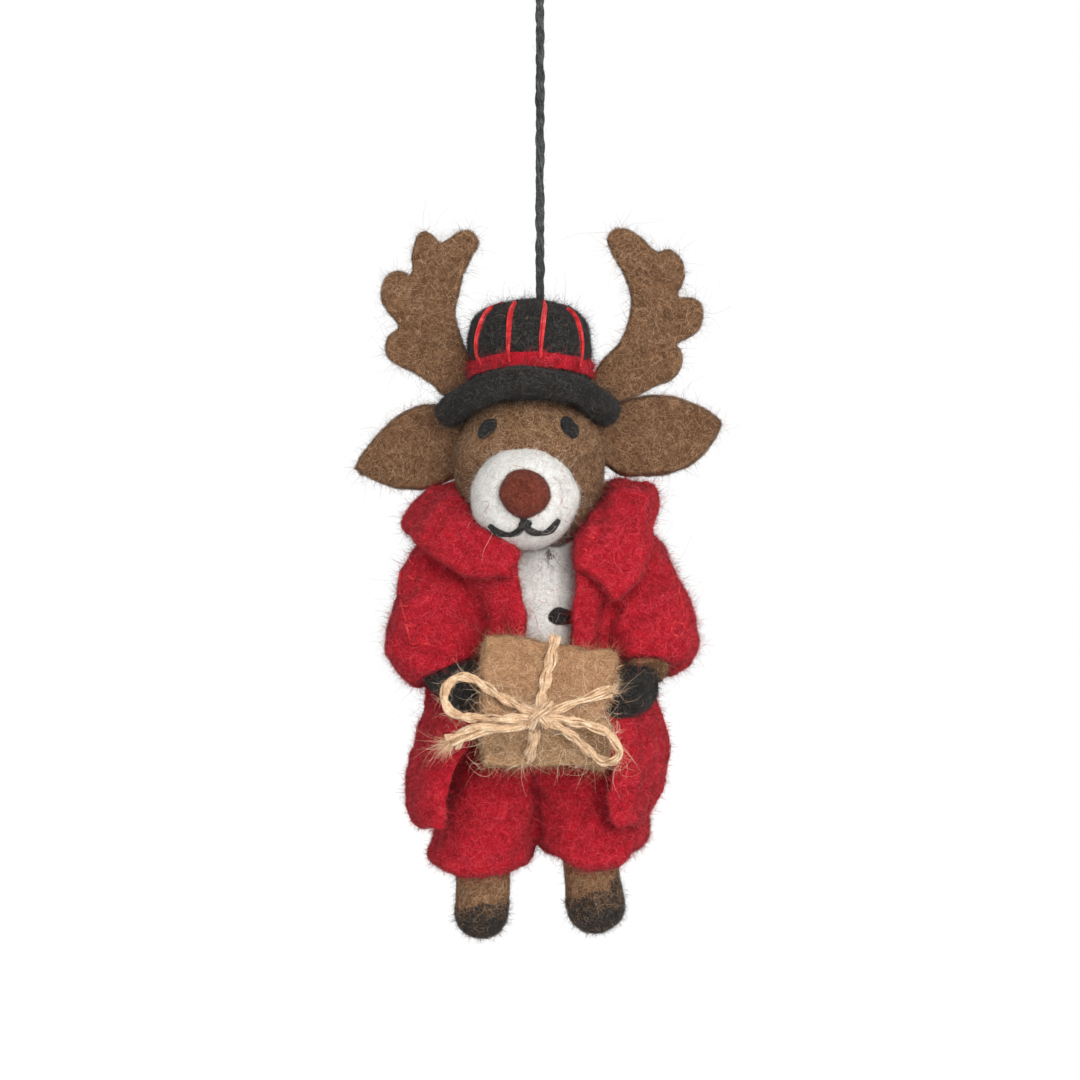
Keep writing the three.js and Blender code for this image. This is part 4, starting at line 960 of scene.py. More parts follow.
def make_head():
    obj = ball("head_wool", *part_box("head"), "brown_felt", "head")
    crumple(obj, "head")
    # The tan fibres over the head above the brow are painted light on its upper part.
    return stuffed(obj, "head", "brown_felt", over=("tan_felt", OVER_HEAD, place_at(0, PAINTED_LIGHT_ABOVE).z))


def make_muzzle():
    low, high = (Vector(corner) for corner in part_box("muzzle"))
    high.y = low.y + MUZZLE_DEPTH
    high.z += MUZZLE_RISE
    obj = ball("muzzle_wool", low, high, "white_felt", "muzzle")
    crumple(obj, "muzzle")
    return stuffed(obj, "muzzle", "white_felt")


def make_nose():
    low, high = (Vector(corner) - Vector((0, 0, NOSE_DROP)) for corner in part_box("nose"))
    high.y = low.y + NOSE_DEPTH
    obj = ball("nose_wool", low, high, "russet_felt", "nose")
    points = points_of(obj)
    middle = (low + high) / 2
    share = np.clip((middle.z - points[:, 2]) / (middle.z - low.z), 0, 1)
    points[:, 0] = middle.x + (points[:, 0] - middle.x) * (1 - NOSE_TAPER_SHARE * share**2)
    set_points(obj, points)
    crumple(obj, "nose")
    stuffed(obj, "nose", "russet_felt", length_share=NOSE_LENGTH_SHARE)


def small_oval(name, place, axes, halves, slot):
    """A felted oval: its middle, three directions and three half sizes in millimetres."""
    obj = ball(name, (-1, -1, -1), (1, 1, 1), slot, "oval")
    turned = (points_of(obj) * halves * MM) @ np.array([tuple(axis) for axis in axes])
    set_points(obj, turned + np.array(place))
    crumple(obj, "oval")
    return obj


def make_eye(node, tree, foot, top, half_width):
    low, high = (on_front(tree, *end)[0] for end in (foot, top))
    place, normal = on_front(tree, *((a + b) / 2 for a, b in zip(foot, top)), EYE_LIFT)
    up = high - low
    halves = (half_width, EYE_THICK, up.length / 2 / MM)
    up = (up - normal * up.dot(normal)).normalized()
    obj = small_oval(node + "_wool", place, (up.cross(normal), normal, up), halves, "black_felt")
    stuffed(obj, node, "black_felt", share=0.7, length_share=0.6)


def yarn_on(tree, name, pixels, diameter, slot, lift_share, threads, lay, hairs):
    """Yarn along a line on the photograph, on the surface that is seen there."""
    more = smooth_rows(pixels, len(pixels) * 4)
    route = [on_front(tree, px, py, diameter * lift_share)[0] for px, py in more]
    twist = (threads, lay, YARN_STEP, YARN_LOOSE)
    return make_yarn(name, route, slot, diameter, twist, (hairs, *YARN_HAIR))[0]


UPRIGHT = (Vector((1, 0, 0)), Vector((0, 1, 0)), Vector((0, 0, 1)))


def make_mouth(tree):
    lines = {"middle": MOUTH_MIDDLE, "left": MOUTH_LEFT, "right": MOUTH_RIGHT}
    pieces = [
        yarn_on(tree, f"mouth_{side}", line, MOUTH_YARN, "black_felt", 0.25, 6, MOUTH_LAY, 14)
        for side, line in lines.items()
    ]
    place, _ = on_front(tree, *MOUTH_CORNER)
    corner = small_oval("mouth_corner", place, UPRIGHT, MOUTH_CORNER_HALVES, "black_felt")
    stand_for(corner, "black_felt")
    fuzz(corner, "black_felt", 1, 0.5)
    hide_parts("mouth")


head = make_head()
muzzle = make_muzzle()
make_nose()
head_tree = tree_of(head)
make_eye("eye_left", head_tree, *EYE_LEFT)
make_eye("eye_right", head_tree, *EYE_RIGHT)
make_mouth(tree_of(muzzle))


# Ears and antlers

EAR_WALL = 3 * MM
EAR_LEFT = [
    (357, 467.5, 357.5, 469.5, 10, 10, 9.6), (361.5, 456, 366, 477, 8.8, 8.8, 8.4),
    (371, 442, 378, 482, 7.6, 8, 7.6), (383, 428, 391, 486.5, 6.6, 7.2, 6.6),
    (397, 417, 406, 489, 5.8, 6.6, 5.8), (412, 408, 422, 489, 4.8, 5.8, 4.8),
    (430, 404.5, 440, 483, 3.8, 4.6, 3.8), (450, 408, 457, 474, 2.6, 3.2, 2.6),
    (468, 420, 468, 462, 2, 2.4, 2),
]
EAR_RIGHT = [
    (721.5, 421.5, 721, 424, 5.4, 5.4, 5.4), (708, 411.5, 714, 437, 5, 5.4, 5),
    (690, 402.5, 702, 454.5, 4.6, 5.4, 4.6), (670, 397, 687, 466, 4.2, 5.2, 4.2),
    (649, 396.5, 667, 472.5, 3.8, 4.8, 3.8), (628, 400, 643, 475, 3.4, 4.2, 3.4),
    (609, 406, 620, 473, 3, 3.6, 3), (590, 424, 592, 454, 2.4, 2.6, 2.4),
]
ANTLER_Y = 1.6 * MM
ANTLER_WALL = 3 * MM
# Outlines, outer side first, from the brim and back to it
ANTLER_LEFT = [
    (441, 392), (432, 383), (422, 377), (410, 370), (398, 365), (389, 359), (386, 350), (386.5, 340),
    (391, 334), (398, 331), (400.5, 325), (396, 318), (389, 311), (383, 303), (381, 295), (383, 284),
    (389, 275), (396, 271), (403, 272), (410, 277), (413, 268), (412, 258), (413, 248), (416, 239),
    (421, 233), (427, 232), (433, 236), (440, 243.5), (447, 240), (455, 234.5), (463, 231.5), (470, 231.5),
    (475, 236), (477.5, 243), (475, 251), (469, 261), (463, 271), (460, 282), (457, 295), (455, 308),
    (456, 322), (459, 335), (465, 348), (474, 360), (488, 374), (486, 392), (460, 402),
]
ANTLER_RIGHT = [
    (590, 378), (601, 363), (609, 354), (618, 344), (625, 333), (630, 319), (632, 305), (631, 292),
    (627, 280), (621, 268), (613, 254), (608.5, 244), (607.5, 237), (611, 232), (617, 229), (625, 229),
    (633, 232), (641, 238), (649, 245), (657, 253), (662, 251.5), (668, 249.5), (675, 253), (682, 260),
    (684, 268), (683, 278), (679, 287), (676.5, 296.5), (684, 298.5), (692, 298.5), (699, 302),
    (702.5, 309), (702.5, 319), (700, 327), (693, 334), (684, 339), (675, 344), (680, 351), (682, 358),
    (681.5, 366), (678, 373), (671, 379), (661, 383), (652, 387), (643, 392), (632, 397), (618, 401),
    (603, 400), (592, 392),
]


def cut_felt(obj, node):
    crumple(obj, node)
    stand_for(obj, "brown_felt", node)
    fuzz(obj, "brown_felt")


def make_ear(node, rows):
    cut_felt(sheet_of_cloth(node, "cut", rows, EAR_WALL, "brown_felt"), node)


def make_antler(node, outline):
    cut_felt(flat_felt(node, outline, ANTLER_Y, ANTLER_WALL, "brown_felt"), node)


make_ear("ear_left", EAR_LEFT)
make_ear("ear_right", EAR_RIGHT)
make_antler("antler_left", ANTLER_LEFT)
make_antler("antler_right", ANTLER_RIGHT)


# Hat

STRIPE_COUNT = 10
STRIPE_TOP = 57  # degrees above the band's level, seen from the crown's middle
STRIPE_FOOT = -8
STRIPE_TOP_SPREAD = 4
STRIPE_TURN_SPREAD = 0.03  # radians around the crown
STRIPE_THREAD = 1.1 * MM
STRIPE_TWIST = (3, 34 * MM, 0.3 * MM, 0.3)  # threads, lay, step, and how unevenly they lie
STRIPE_SINK_SHARE = 0.22  # how far its middle is off the crown, of its width
STRIPE_POINTS = 14
STRIPE_RISE = 1 * MM  # where it is aimed from, over the band
HAT_REACH = 60  # millimetres, well outside the hat
STRIPE_BACK = math.radians(24)  # how far behind its solid a side stripe lies
# The four stripes in front, on the photograph
FRONT_STRIPES = {
    1: [(481, 369), (478, 354), (478.4, 339.5), (482.3, 325.5), (487, 315.5), (493.5, 309)],
    2: [(510, 365), (509, 350), (509.5, 336.4), (510.3, 324), (512, 313), (516, 304.5)],
    3: [(540.5, 361), (540.7, 345), (542.2, 332), (543.8, 319), (545, 310), (544, 303.5)],
    4: [(578, 369), (580.4, 352), (579.6, 337), (577, 325), (572.6, 316), (567, 310)],
}
CROWN_MOVES = [(462, 366, 470, 366), (461, 348, 464, 350), (594, 366, 591, 367)]
CROWN_REACH = 4 * MM
BAND_STANDS_OFF = (-0.6, 0.4)  # millimetres off the crown, at least and at most


def hug(obj, tree, axis):
    """Draws a ring in until it lies on the crown."""
    points = points_of(obj)
    for point in points:
        out = Vector((point[0] - axis[0], point[1] - axis[1], 0))
        start = Vector((axis[0], axis[1], point[2])) + out.normalized() * HAT_REACH * MM
        place, _, _, _ = tree.ray_cast(start, -out)
        if place is None:
            continue
        crown = math.hypot(place.x - axis[0], place.y - axis[1])
        off = min(max(out.length - crown, BAND_STANDS_OFF[0] * MM), BAND_STANDS_OFF[1] * MM)
        point[:2] = axis[:2] + np.array(out)[:2] / out.length * (crown + off)
    set_points(obj, points)


def make_hat():
    crown = soft_copy("hat_crown", "black_felt")
    drag(crown, CROWN_MOVES, CROWN_REACH)
    crumple(crown, "hat_crown")
    stuffed(crown, "hat_crown", "black_felt")
    stuffed_copy("hat_brim", "black_felt")
    band = soft_copy("hat_band", "red_felt")
    axis = (np.array(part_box("hat_crown")[0]) + np.array(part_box("hat_crown")[1])) / 2
    hug(band, tree_of(crown), axis)
    crumple(band, "hat_band")
    stuffed(band, "hat_band", "red_felt", share=1.4, length_share=1.2)
    tree = tree_of(crown, band)
    for number in range(1, STRIPE_COUNT + 1):
        node = f"hat_stripe_{number}"
        if number in FRONT_STRIPES:
            places = smooth_rows(FRONT_STRIPES[number], STRIPE_POINTS)
            route = [on_front(tree, px, py, STRIPE_THREAD * STRIPE_SINK_SHARE)[0] for px, py in places]
        else:
            route = stripe_route(node, tree, Vector(axis))
        make_yarn(node + "_floss", route, "red_floss", STRIPE_THREAD, STRIPE_TWIST, node=node)


def stripe_route(node, tree, axis):
    """A long stitch over the crown, from the band nearly to the top."""
    low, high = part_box(node)
    out = (Vector(low) + Vector(high)) / 2 - axis
    turn = math.atan2(out.y, out.x) + rng.normal() * STRIPE_TURN_SPREAD
    turn += STRIPE_BACK * math.copysign(max(0, 1 - abs(out.y / out.x)), out.x)
    foot = Vector((axis.x, axis.y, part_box("hat_band")[1][2] + STRIPE_RISE))
    top = STRIPE_TOP + rng.normal() * STRIPE_TOP_SPREAD
    route = []
    for step in np.linspace(STRIPE_FOOT, top, STRIPE_POINTS):
        rise = math.radians(step)
        way = Vector((math.cos(turn) * math.cos(rise), math.sin(turn) * math.cos(rise), math.sin(rise)))
        place, _, _, _ = tree.ray_cast(foot + way * HAT_REACH * MM, -way)
        route.append(place + way * STRIPE_THREAD * STRIPE_SINK_SHARE)
    return route


make_hat()


# Body and button

BUTTON = (560.5, 616)
BUTTON_HALVES = (2.5, 1.2, 1.65)
CHIN_HAIR = (549, 553)
CHIN_HAIR_SPREAD = (3.5, 4)
CHIN_HAIRS = 130
CHIN_HAIR_LENGTHS = (2, 4.6)
CHIN_HAIR_WAYS = ((0, -0.1, -1), (0.3, 0.1, 0.2))
COARSE_HAIR = 0.09 * MM


def make_button(tree):
    place, _ = on_front(tree, *BUTTON)
    obj = small_oval("button_wool", place, UPRIGHT, BUTTON_HALVES, "black_felt")
    stuffed(obj, "button", "black_felt", share=1, length_share=0.6)


def make_chin_hair(tree):
    """A tuft of brown wool that hangs from under the chin."""
    pixels = rng.normal(CHIN_HAIR, CHIN_HAIR_SPREAD, (CHIN_HAIRS, 2))
    looks = CHIN_HAIR_LENGTHS, 0.2, 5, (0, 0.35), COARSE_HAIR, "brown_felt", "brown_felt"
    make_hairs("chin_hair", tree, pixels, 0.2 * MM, CHIN_HAIR_WAYS, *looks)


torso_tree = tree_of(stuffed_copy("torso", "white_felt"))
make_button(torso_tree)
make_chin_hair(torso_tree)


# Limbs

HOOF_MOVES = {
    "left": [
        (438, 686, 425, 676), (445, 670, 436, 667), (442, 697, 439, 691), (461, 660, 462, 661),
        (455, 706, 455, 703),
    ],
    "right": [
        (661, 677, 655, 681), (665, 687, 655, 690), (652, 703, 642, 705), (628, 713, 618, 720),
        (607, 694, 605, 703), (640, 664, 636, 670),
    ],
}
HOOF_PUSHES = {"left": [(435, 670, 2.5)], "right": [(655, 672, 2.5)]}
ARM_PUSHES = {"left": [(430, 672, 3)], "right": [(652, 668, -1.0)]}
ARM_MOVES = {
    "left": [(430, 688, 430, 672)],
    "right": [(650, 688, 652, 682), (672, 670, 668, 665), (668, 688, 663, 687), (632, 664, 623, 662)],
}
HOOF_REACH = 4 * MM
HOOF_SWELL = 0.7 * MM
FOOT_EDGES = {"left": (908, 897), "right": (897, 880)}  # where a foot's black begins, at its left and right
FOOT_OVERLAP = 1.8 * MM
FOOT_SWELL = 0.2 * MM
FOOT_EDGE_WAVES = (3 * MM, 1.6 * MM)  # their size and height
FOOT_EDGE_SEED = 9
LEG_DEPTHS = [
    (-0.2, 5), (-0.2, 5.2), (-0.2, 5.4), (-0.4, 5.6), (-0.6, 5.4), (-0.6, 4.6), (-0.6, 3.2), (-0.6, 1),
]
LEG_EDGES = {
    "left": [
        (459, 825, 507, 825), (457, 860, 508, 860), (456, 885, 508, 885), (456, 904, 506, 903),
        (458, 918, 504, 916), (462, 927, 500, 926), (469, 933, 494, 932), (478, 936, 487, 936),
    ],
    "right": [
        (566, 825, 618, 825), (564, 860, 619, 860), (566, 885, 620, 885), (567, 901, 622, 900),
        (570, 913, 621, 912), (575, 922, 616, 921), (583, 928, 608, 927), (592, 931, 600, 931),
    ],
}


def make_foot(leg, side):
    """The black wool of a foot, which lies over the leg's."""
    node = f"hoof_rear_{side}"
    foot = object_of(node + "_wool", leg.data.copy(), felts["black_felt"])
    low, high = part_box(node)
    points = points_of(foot)
    share = np.clip((points[:, 0] - low[0]) / (high[0] - low[0]), 0, 1)
    start, end = (place_at(0, py).z for py in FOOT_EDGES[side])
    size, height = FOOT_EDGE_WAVES
    edge = start + (end - start) * share + noise_at(points, size, FOOT_EDGE_SEED) * height
    swell(foot, FOOT_SWELL)
    shape = bmesh.new()
    shape.from_mesh(foot.data)
    above = [vertex for vertex, z, limit in zip(shape.verts, points[:, 2], edge) if z > limit]
    bmesh.ops.delete(shape, geom=above, context="VERTS")
    shape.to_mesh(foot.data)
    shape.free()
    stuffed(foot, node, "black_felt", over=("brown_felt", OVER_FOOT, min(start, end) - FOOT_OVERLAP))


def make_leg(side):
    node = f"leg_{side}"
    rows = [(*edges, *depths) for edges, depths in zip(LEG_EDGES[side], LEG_DEPTHS)]
    leg = closed_loft(node, rows, "brown_felt")
    crumple(leg, node)
    make_foot(leg, side)
    stuffed(leg, node, "brown_felt", over=("tan_felt", OVER_HEAD, place_at(0, FOOT_EDGES[side][0]).z))


def make_arm(side):
    arm, hoof = f"arm_{side}", f"hoof_front_{side}"
    obj = soft_copy(arm, "brown_felt")
    push(obj, ARM_PUSHES[side], HOOF_REACH)
    drag(obj, ARM_MOVES[side], HOOF_REACH)
    crumple(obj, arm)
    stuffed(obj, arm, "brown_felt")
    obj = soft_copy(hoof, "black_felt")
    swell(obj, HOOF_SWELL)
    drag(obj, HOOF_MOVES[side], HOOF_REACH)
    push(obj, HOOF_PUSHES[side], HOOF_REACH)
    crumple(obj, hoof)
    stuffed(obj, hoof, "black_felt", over=("brown_felt", OVER_HOOF, -1))


for side in ("left", "right"):
    make_leg(side)
    make_arm(side)


# Clothes. The rows of a tube of cloth are what lofted_points reads.

CLOTH_WALL = 2.6 * MM
TROUSER_HIPS = [
    (470, 690, 602, 690, 2.2, 10), (460, 712, 612, 712, 2.2, 10.5), (453, 745, 623, 745, 2.2, 11),
    (449, 770, 632, 770, 2.2, 11), (456, 786, 622, 784, 2.2, 9.5),
]
TROUSER_LEFT = [
    (460, 740, 545, 740, 2, 10), (449, 770, 545, 768, 2, 11), (445, 795, 543, 797, 2, 11.5),
    (441, 822, 539, 822, 2, 11.5, 0, 0.6), (431, 846, 534, 845, 2, 11.8, 0, 1.6),
    (428, 857, 531, 857, 2, 11.6, 0, 2.4), (436, 864, 523, 863, 2, 10, 0, 2.8),
]
TROUSER_RIGHT = [
    (531, 740, 620, 740, 2, 10), (531, 768, 632, 768, 2, 11), (532, 797, 640, 795, 2, 11.5),
    (534, 818, 646, 812, 2, 11.5, 0, 0.8), (535, 834, 648, 829, 2, 11.8, 0, 2),
    (541, 846, 643, 842, 2, 11.6, 0, 3.2), (553, 852, 632, 849, 2, 10, 0, 3.4),
]
SLEEVE_LEFT = [
    (442, 523, 470, 521, 4, 7), (430, 537, 456, 534, 4, 6.5), (412, 552, 462, 546, 3, 8),
    (401, 577, 474, 570, 1.5, 9.5), (393, 604, 482, 592, -1, 10), (389, 630, 487, 613, -3, 10),
    (391, 654, 488, 634, -4.6, 9.4, 0.4, 0), (401, 676, 485, 650, -5.6, 8.4, 0.8, 0),
    (414, 687, 480, 658, -6.2, 7.2, 1, 0),
]
SLEEVE_RIGHT = [
    (610, 521, 638, 523, 4, 7), (623, 534, 651, 535, 4, 6.5), (616, 550, 668, 550, 3, 8),
    (608, 574, 678, 574, 1.5, 9.5), (601, 600, 687, 602, -1, 10), (599, 622, 694, 628, -3, 9.8, 0.5, 0),
    (602, 640, 695, 647, -4.4, 9.4, 1, 0), (608, 656, 688, 660, -5.6, 8.8, 1.6, 0),
    (617, 665, 675, 667, -6.2, 7.8, 1.9, 0),
]
COAT_WALL = 3 * MM
COAT_LEFT = [
    (448, 526, 508, 537, 4, -6, -9.5), (436, 540, 512, 550, 4, -7, -10.8),
    (440, 570, 515, 566, 4, -8.5, -11.4), (442, 600, 521, 598, 4, -8.5, -12),
    (440, 635, 524, 636, 4, -8, -12.4), (437, 668, 518, 672, 4, -5.5, -12.4),
    (433, 698, 494, 704, 3, -7.5, -12.6), (424, 727, 475, 732, 1.5, -11.5, -14),
    (418.5, 750, 459, 757, 0, -13, -15), (415.5, 776, 449, 780, -1.5, -13, -15),
    (415, 800, 445, 802, -2.5, -12.5, -14.5), (417, 815, 444, 815, -3, -12, -13.5),
    (424, 824, 440, 824, -3, -12, -13),
]
COAT_RIGHT = [
    (585, 535, 632, 531, -9.5, -6, 4), (581, 549, 640, 545, -10.8, -7, 4),
    (578, 566, 640, 570, -11.4, -8.5, 4), (575, 598, 640, 600, -12, -8.5, 4),
    (572, 634, 642, 635, -12.4, -8, 4), (577, 668, 644, 668, -12.6, -6, 4),
    (590, 700, 652, 702, -12.8, -8, 2.5), (602, 728, 660, 726, -14, -12, 1),
    (613, 755, 661, 748, -15, -13, -0.5), (612, 780, 658, 776, -15, -13, -2),
    (610, 802, 650, 800, -14.5, -12.5, -3), (614, 812, 643, 811, -13.5, -12, -3.5),
    (622, 820, 633, 820, -13, -12, -3.5),
]
COAT_BACK_MOVES = [
    (662, 812, 647, 806), (662, 780, 655, 780), (418, 816, 426, 808), (450, 826, 450, 816),
    (540, 826, 540, 818),
]
COAT_BACK_REACH = 6 * MM
COAT_PATCH = (457, 767, 10.8)  # where the back is thin: a place on the photograph, and its y in millimetres
COAT_PATCH_AXES = (Vector((-1, -1, 0)).normalized(), Vector((-1, 1, 0)).normalized(), Vector((0, 0, 1)))
COAT_PATCH_HALVES = (7, 1.3, 11.5)
COAT_BACK_SWELL = 0.3 * MM

# Creases: a line on the photograph, then depth and width in millimetres
TROUSER_CREASES = [
    ([(533, 776), (535, 796), (536, 812), (535, 836), (534, 856)], 1.8, 0.8),
    ([(540, 800), (556, 812), (585, 806)], 0.9, 1.4), ([(530, 812), (505, 822), (470, 815)], 0.6, 1.6),
    ([(448, 800), (462, 816), (480, 822)], 0.7, 1.4), ([(440, 852), (480, 864), (522, 856)], 0.5, 1.2),
    ([(548, 838), (590, 852), (635, 838)], 0.6, 1.2), ([(616, 818), (600, 800), (596, 780)], 0.7, 1.6),
]
SLEEVE_LEFT_CREASES = [
    ([(417, 560), (416, 575), (412, 590)], 1.0, 1.0), ([(440, 575), (455, 600), (478, 618)], 1.2, 1.8),
    ([(418, 600), (440, 628), (470, 648)], 0.6, 1.6), ([(400, 640), (422, 656), (450, 660)], 0.7, 1.5),
]
SLEEVE_RIGHT_CREASES = [
    ([(655, 575), (640, 605), (622, 640)], 0.9, 1.8), ([(612, 610), (606, 625), (612, 645)], 1.2, 1.6),
    ([(690, 632), (670, 648), (640, 652)], 0.6, 1.4), ([(668, 552), (664, 575), (660, 592)], 0.7, 1.0),
]
COAT_LEFT_CREASES = [
    ([(478, 600), (479, 618), (478, 636)], 1.8, 1.6), ([(500, 590), (503, 610), (500, 640)], 0.5, 1.6),
    ([(440, 735), (432, 770), (436, 800)], 0.6, 2.0), ([(458, 740), (450, 770), (446, 796)], 0.6, 1.2),
]
COAT_RIGHT_CREASES = [
    ([(608, 608), (606, 622), (606, 645)], 2.0, 1.6), ([(588, 590), (586, 610), (588, 640)], 0.5, 1.6),
    ([(640, 735), (645, 765), (636, 790)], 0.7, 2.0), ([(618, 770), (624, 790), (622, 806)], 0.6, 1.2),
]
LAPEL_LEFT_MOVES = [
    (430, 480, 434, 495), (412, 497, 420, 503), (401, 515, 409, 518), (407, 530, 411, 532),
    (422, 542, 419, 541), (437, 551, 433, 554), (456, 560, 460, 573), (477, 569, 486, 579),
    (501, 578, 508, 575), (517, 555, 514, 559),
]
LAPEL_RIGHT_MOVES = [
    (639, 471, 645, 483), (659, 488, 656, 490), (668, 506, 656, 505), (668, 521, 652, 521),
    (660, 538, 650, 538), (644, 566, 640, 565), (618, 605, 614, 602), (585, 530, 586, 530),
    (597, 580, 595, 580),
]
LAPEL_LEFT_CREASES = [
    ([(405, 541), (423, 549), (440, 553)], 1.2, 1.2), ([(450, 540), (480, 556), (505, 556)], 0.5, 1.8),
]
LAPEL_RIGHT_CREASES = [
    ([(604, 520), (598, 540), (606, 562)], 0.7, 1.2), ([(636, 500), (630, 530), (622, 560)], 0.5, 1.8),
]
LAPEL_PUSHES = [(414, 512, 2.5), (424, 540, 1.5)]
CLOTH_REACH = 3.6 * MM


# How each piece of cloth was cut: width, length and area in millimetres, how it is held and what it lies on
CUTS = {
    "trousers": (110, 36, 3700, "draped", ["torso", "leg_left", "leg_right"]),
    "sleeve_left": (61, 31, 1490, "draped", ["arm_left"]),
    "sleeve_right": (61, 30, 1420, "draped", ["arm_right"]),
    "coat_front_left": (28, 59, 1390, "hung", ["torso"]),
    "coat_front_right": (26, 58, 1270, "hung", ["torso"]),
    "coat_back": (54, 59, 2700, "hung", ["torso"]),
    "lapel_left": (20, 58, 1090, "folded", ["coat_front_left", "coat_back"]),
    "lapel_right": (20, 56, 1020, "folded", ["coat_front_right", "coat_back"]),
}


def finish_cloth(obj, node, creases=()):
    for pixels, depth, width in creases:
        furrow(obj, pixels, depth * MM, width * MM)
    crumple(obj, node)
    stand_for(obj, "red_felt", node)
    width, length, area, held, under = CUTS[node]
    fuzz(obj, "red_felt")
    return obj


def make_tube_garment(node, rows_of_tubes, creases):
    return finish_cloth(tube_of_cloth(node, rows_of_tubes), node, creases)


def make_coat_front(node, rows, creases):
    finish_cloth(sheet_of_cloth(node, "cloth", rows, COAT_WALL, "red_felt"), node, creases)


def make_coat_back():
    px, py, y = COAT_PATCH
    patch = small_oval("coat_patch", place_at(px, py, y * MM), COAT_PATCH_AXES, COAT_PATCH_HALVES, "red_felt")
    obj = soft_copy("coat_back", "red_felt", "cloth", [patch])
    swell(obj, COAT_BACK_SWELL)
    drag(obj, COAT_BACK_MOVES, COAT_BACK_REACH)
    finish_cloth(obj, "coat_back")


def make_lapel(node, puff, moves, creases):
    obj = soft_copy(node, "red_felt", "cloth")
    swell(obj, puff * MM)
    drag(obj, moves, CLOTH_REACH)
    push(obj, LAPEL_PUSHES, CLOTH_REACH)
    return finish_cloth(obj, node, creases)


make_tube_garment("trousers", [TROUSER_HIPS, TROUSER_LEFT, TROUSER_RIGHT], TROUSER_CREASES)
sleeve_left = make_tube_garment("sleeve_left", [SLEEVE_LEFT], SLEEVE_LEFT_CREASES)
sleeve_right = make_tube_garment("sleeve_right", [SLEEVE_RIGHT], SLEEVE_RIGHT_CREASES)
make_coat_front("coat_front_left", COAT_LEFT, COAT_LEFT_CREASES)
make_coat_front("coat_front_right", COAT_RIGHT, COAT_RIGHT_CREASES)
make_coat_back()
make_lapel("lapel_left", 0.7, LAPEL_LEFT_MOVES, LAPEL_LEFT_CREASES)
lapel_right = make_lapel("lapel_right", 0.6, LAPEL_RIGHT_MOVES, LAPEL_RIGHT_CREASES)


# Stitches in red thread: lines on the photograph

STITCH = 0.5 * MM
STITCH_LAY = 5 * MM
SLEEVE_LEFT_STITCHES = [
    [(402, 572), (401.5, 583), (402, 595)], [(402, 598), (405, 610), (408, 621)],
    [(408, 624), (411, 634), (413, 643)], [(401, 606), (415, 606)], [(407, 625), (418, 625)],
    [(412, 642), (422, 642), (432, 643)], [(410, 560), (414, 566)], [(409, 576), (415, 580)],
]
SLEEVE_RIGHT_STITCHES = [
    [(662, 543), (667, 551), (670, 560)], [(671, 563), (673, 575), (676, 587)],
    [(677, 590), (680, 603), (682, 616)], [(662, 560), (668, 558)], [(668, 580), (675, 577)],
    [(670, 626), (672, 622), (677, 622)], [(677, 622), (682, 625), (681, 631)],
    [(681, 631), (677, 635), (671, 633)], [(671, 633), (669, 630), (670, 626)],
]
LAPEL_RIGHT_STITCHES = [[(594, 520), (600, 523)], [(588, 537), (594, 539)], [(582, 549), (587, 551)]]
STITCH_DEPTH = 6 * MM  # a longer one would hang over an edge


def make_stitches(name, cloth, lines):
    tree = tree_of(cloth)
    for number, line in enumerate(lines, 1):
        depths = [on_front(tree, px, py)[0].y for px, py in smooth_rows(line, len(line) * 4)]
        if max(depths) - min(depths) < STITCH_DEPTH:
            yarn_on(tree, f"{name}_{number}", line, STITCH, "red_felt", 0.4, 3, STITCH_LAY, 2)


make_stitches("sleeve_left_stitch", sleeve_left, SLEEVE_LEFT_STITCHES)
make_stitches("sleeve_right_stitch", sleeve_right, SLEEVE_RIGHT_STITCHES)
make_stitches("lapel_right_stitch", lapel_right, LAPEL_RIGHT_STITCHES)


# Parcel and twine. A twine's places are on the photograph, then millimetres off the parcel.

PARCEL_MOVES = [
    (477, 768, 480, 763), (500, 772, 500, 765), (537, 771, 537, 764.5), (574, 772, 574, 763),
    (618, 758, 611, 753), (620, 730, 615, 730), (620, 701, 606, 706), (620, 680, 615, 682),
    (618, 658, 619, 656), (482, 630, 485, 635), (478, 690, 479, 690),
]
PARCEL_PUSHES = [(490, 752, 2.2), (520, 754, 2.2), (555, 754, 2.2), (590, 748, 2.2)]
PARCEL_REACH = 4 * MM
PARCEL_CREASE = [(470, 724), (500, 719), (540, 716), (575, 714), (610, 711)]
PARCEL_CREASE_DEPTH = 0.9 * MM
PARCEL_CREASE_WIDTH = 1.2 * MM
# painted shade: the felt of the parcel's lower half, which faces down
PARCEL_PAINTED_SHADE = ((120, 92, 60), (170, 137, 98), (212, 182, 140))
TWINE = 2.0 * MM
TWINE_LAY = 9 * MM
TAIL_LAY = 16 * MM
TWINE_STEP = 0.25 * MM
TWINE_LOOSE = 0.35
TWINE_PLY_SHARE = 0.31
# Hairs on a millimetre, their length and width in millimetres, and how many more at the end
TWINE_HAIRS = (16, 2.4, 0.06)
TAIL_LEFT_HAIRS = (18, 2.8, 0.06, 320)
TAIL_RIGHT_HAIRS = (12, 1.6, 0.06, 110)
WRAP_TWINE = 2.4 * MM
KNOT_TWINE = 2.2 * MM
TAIL_LEFT_TWINE = 2.6 * MM
TAIL_RIGHT_TWINE = 1.9 * MM
WRAP_UP = [(538, 708, 1.6), (541, 697, 1.2), (545, 679, 1.2), (550, 660, 1.2), (553, 643, 1.1)]
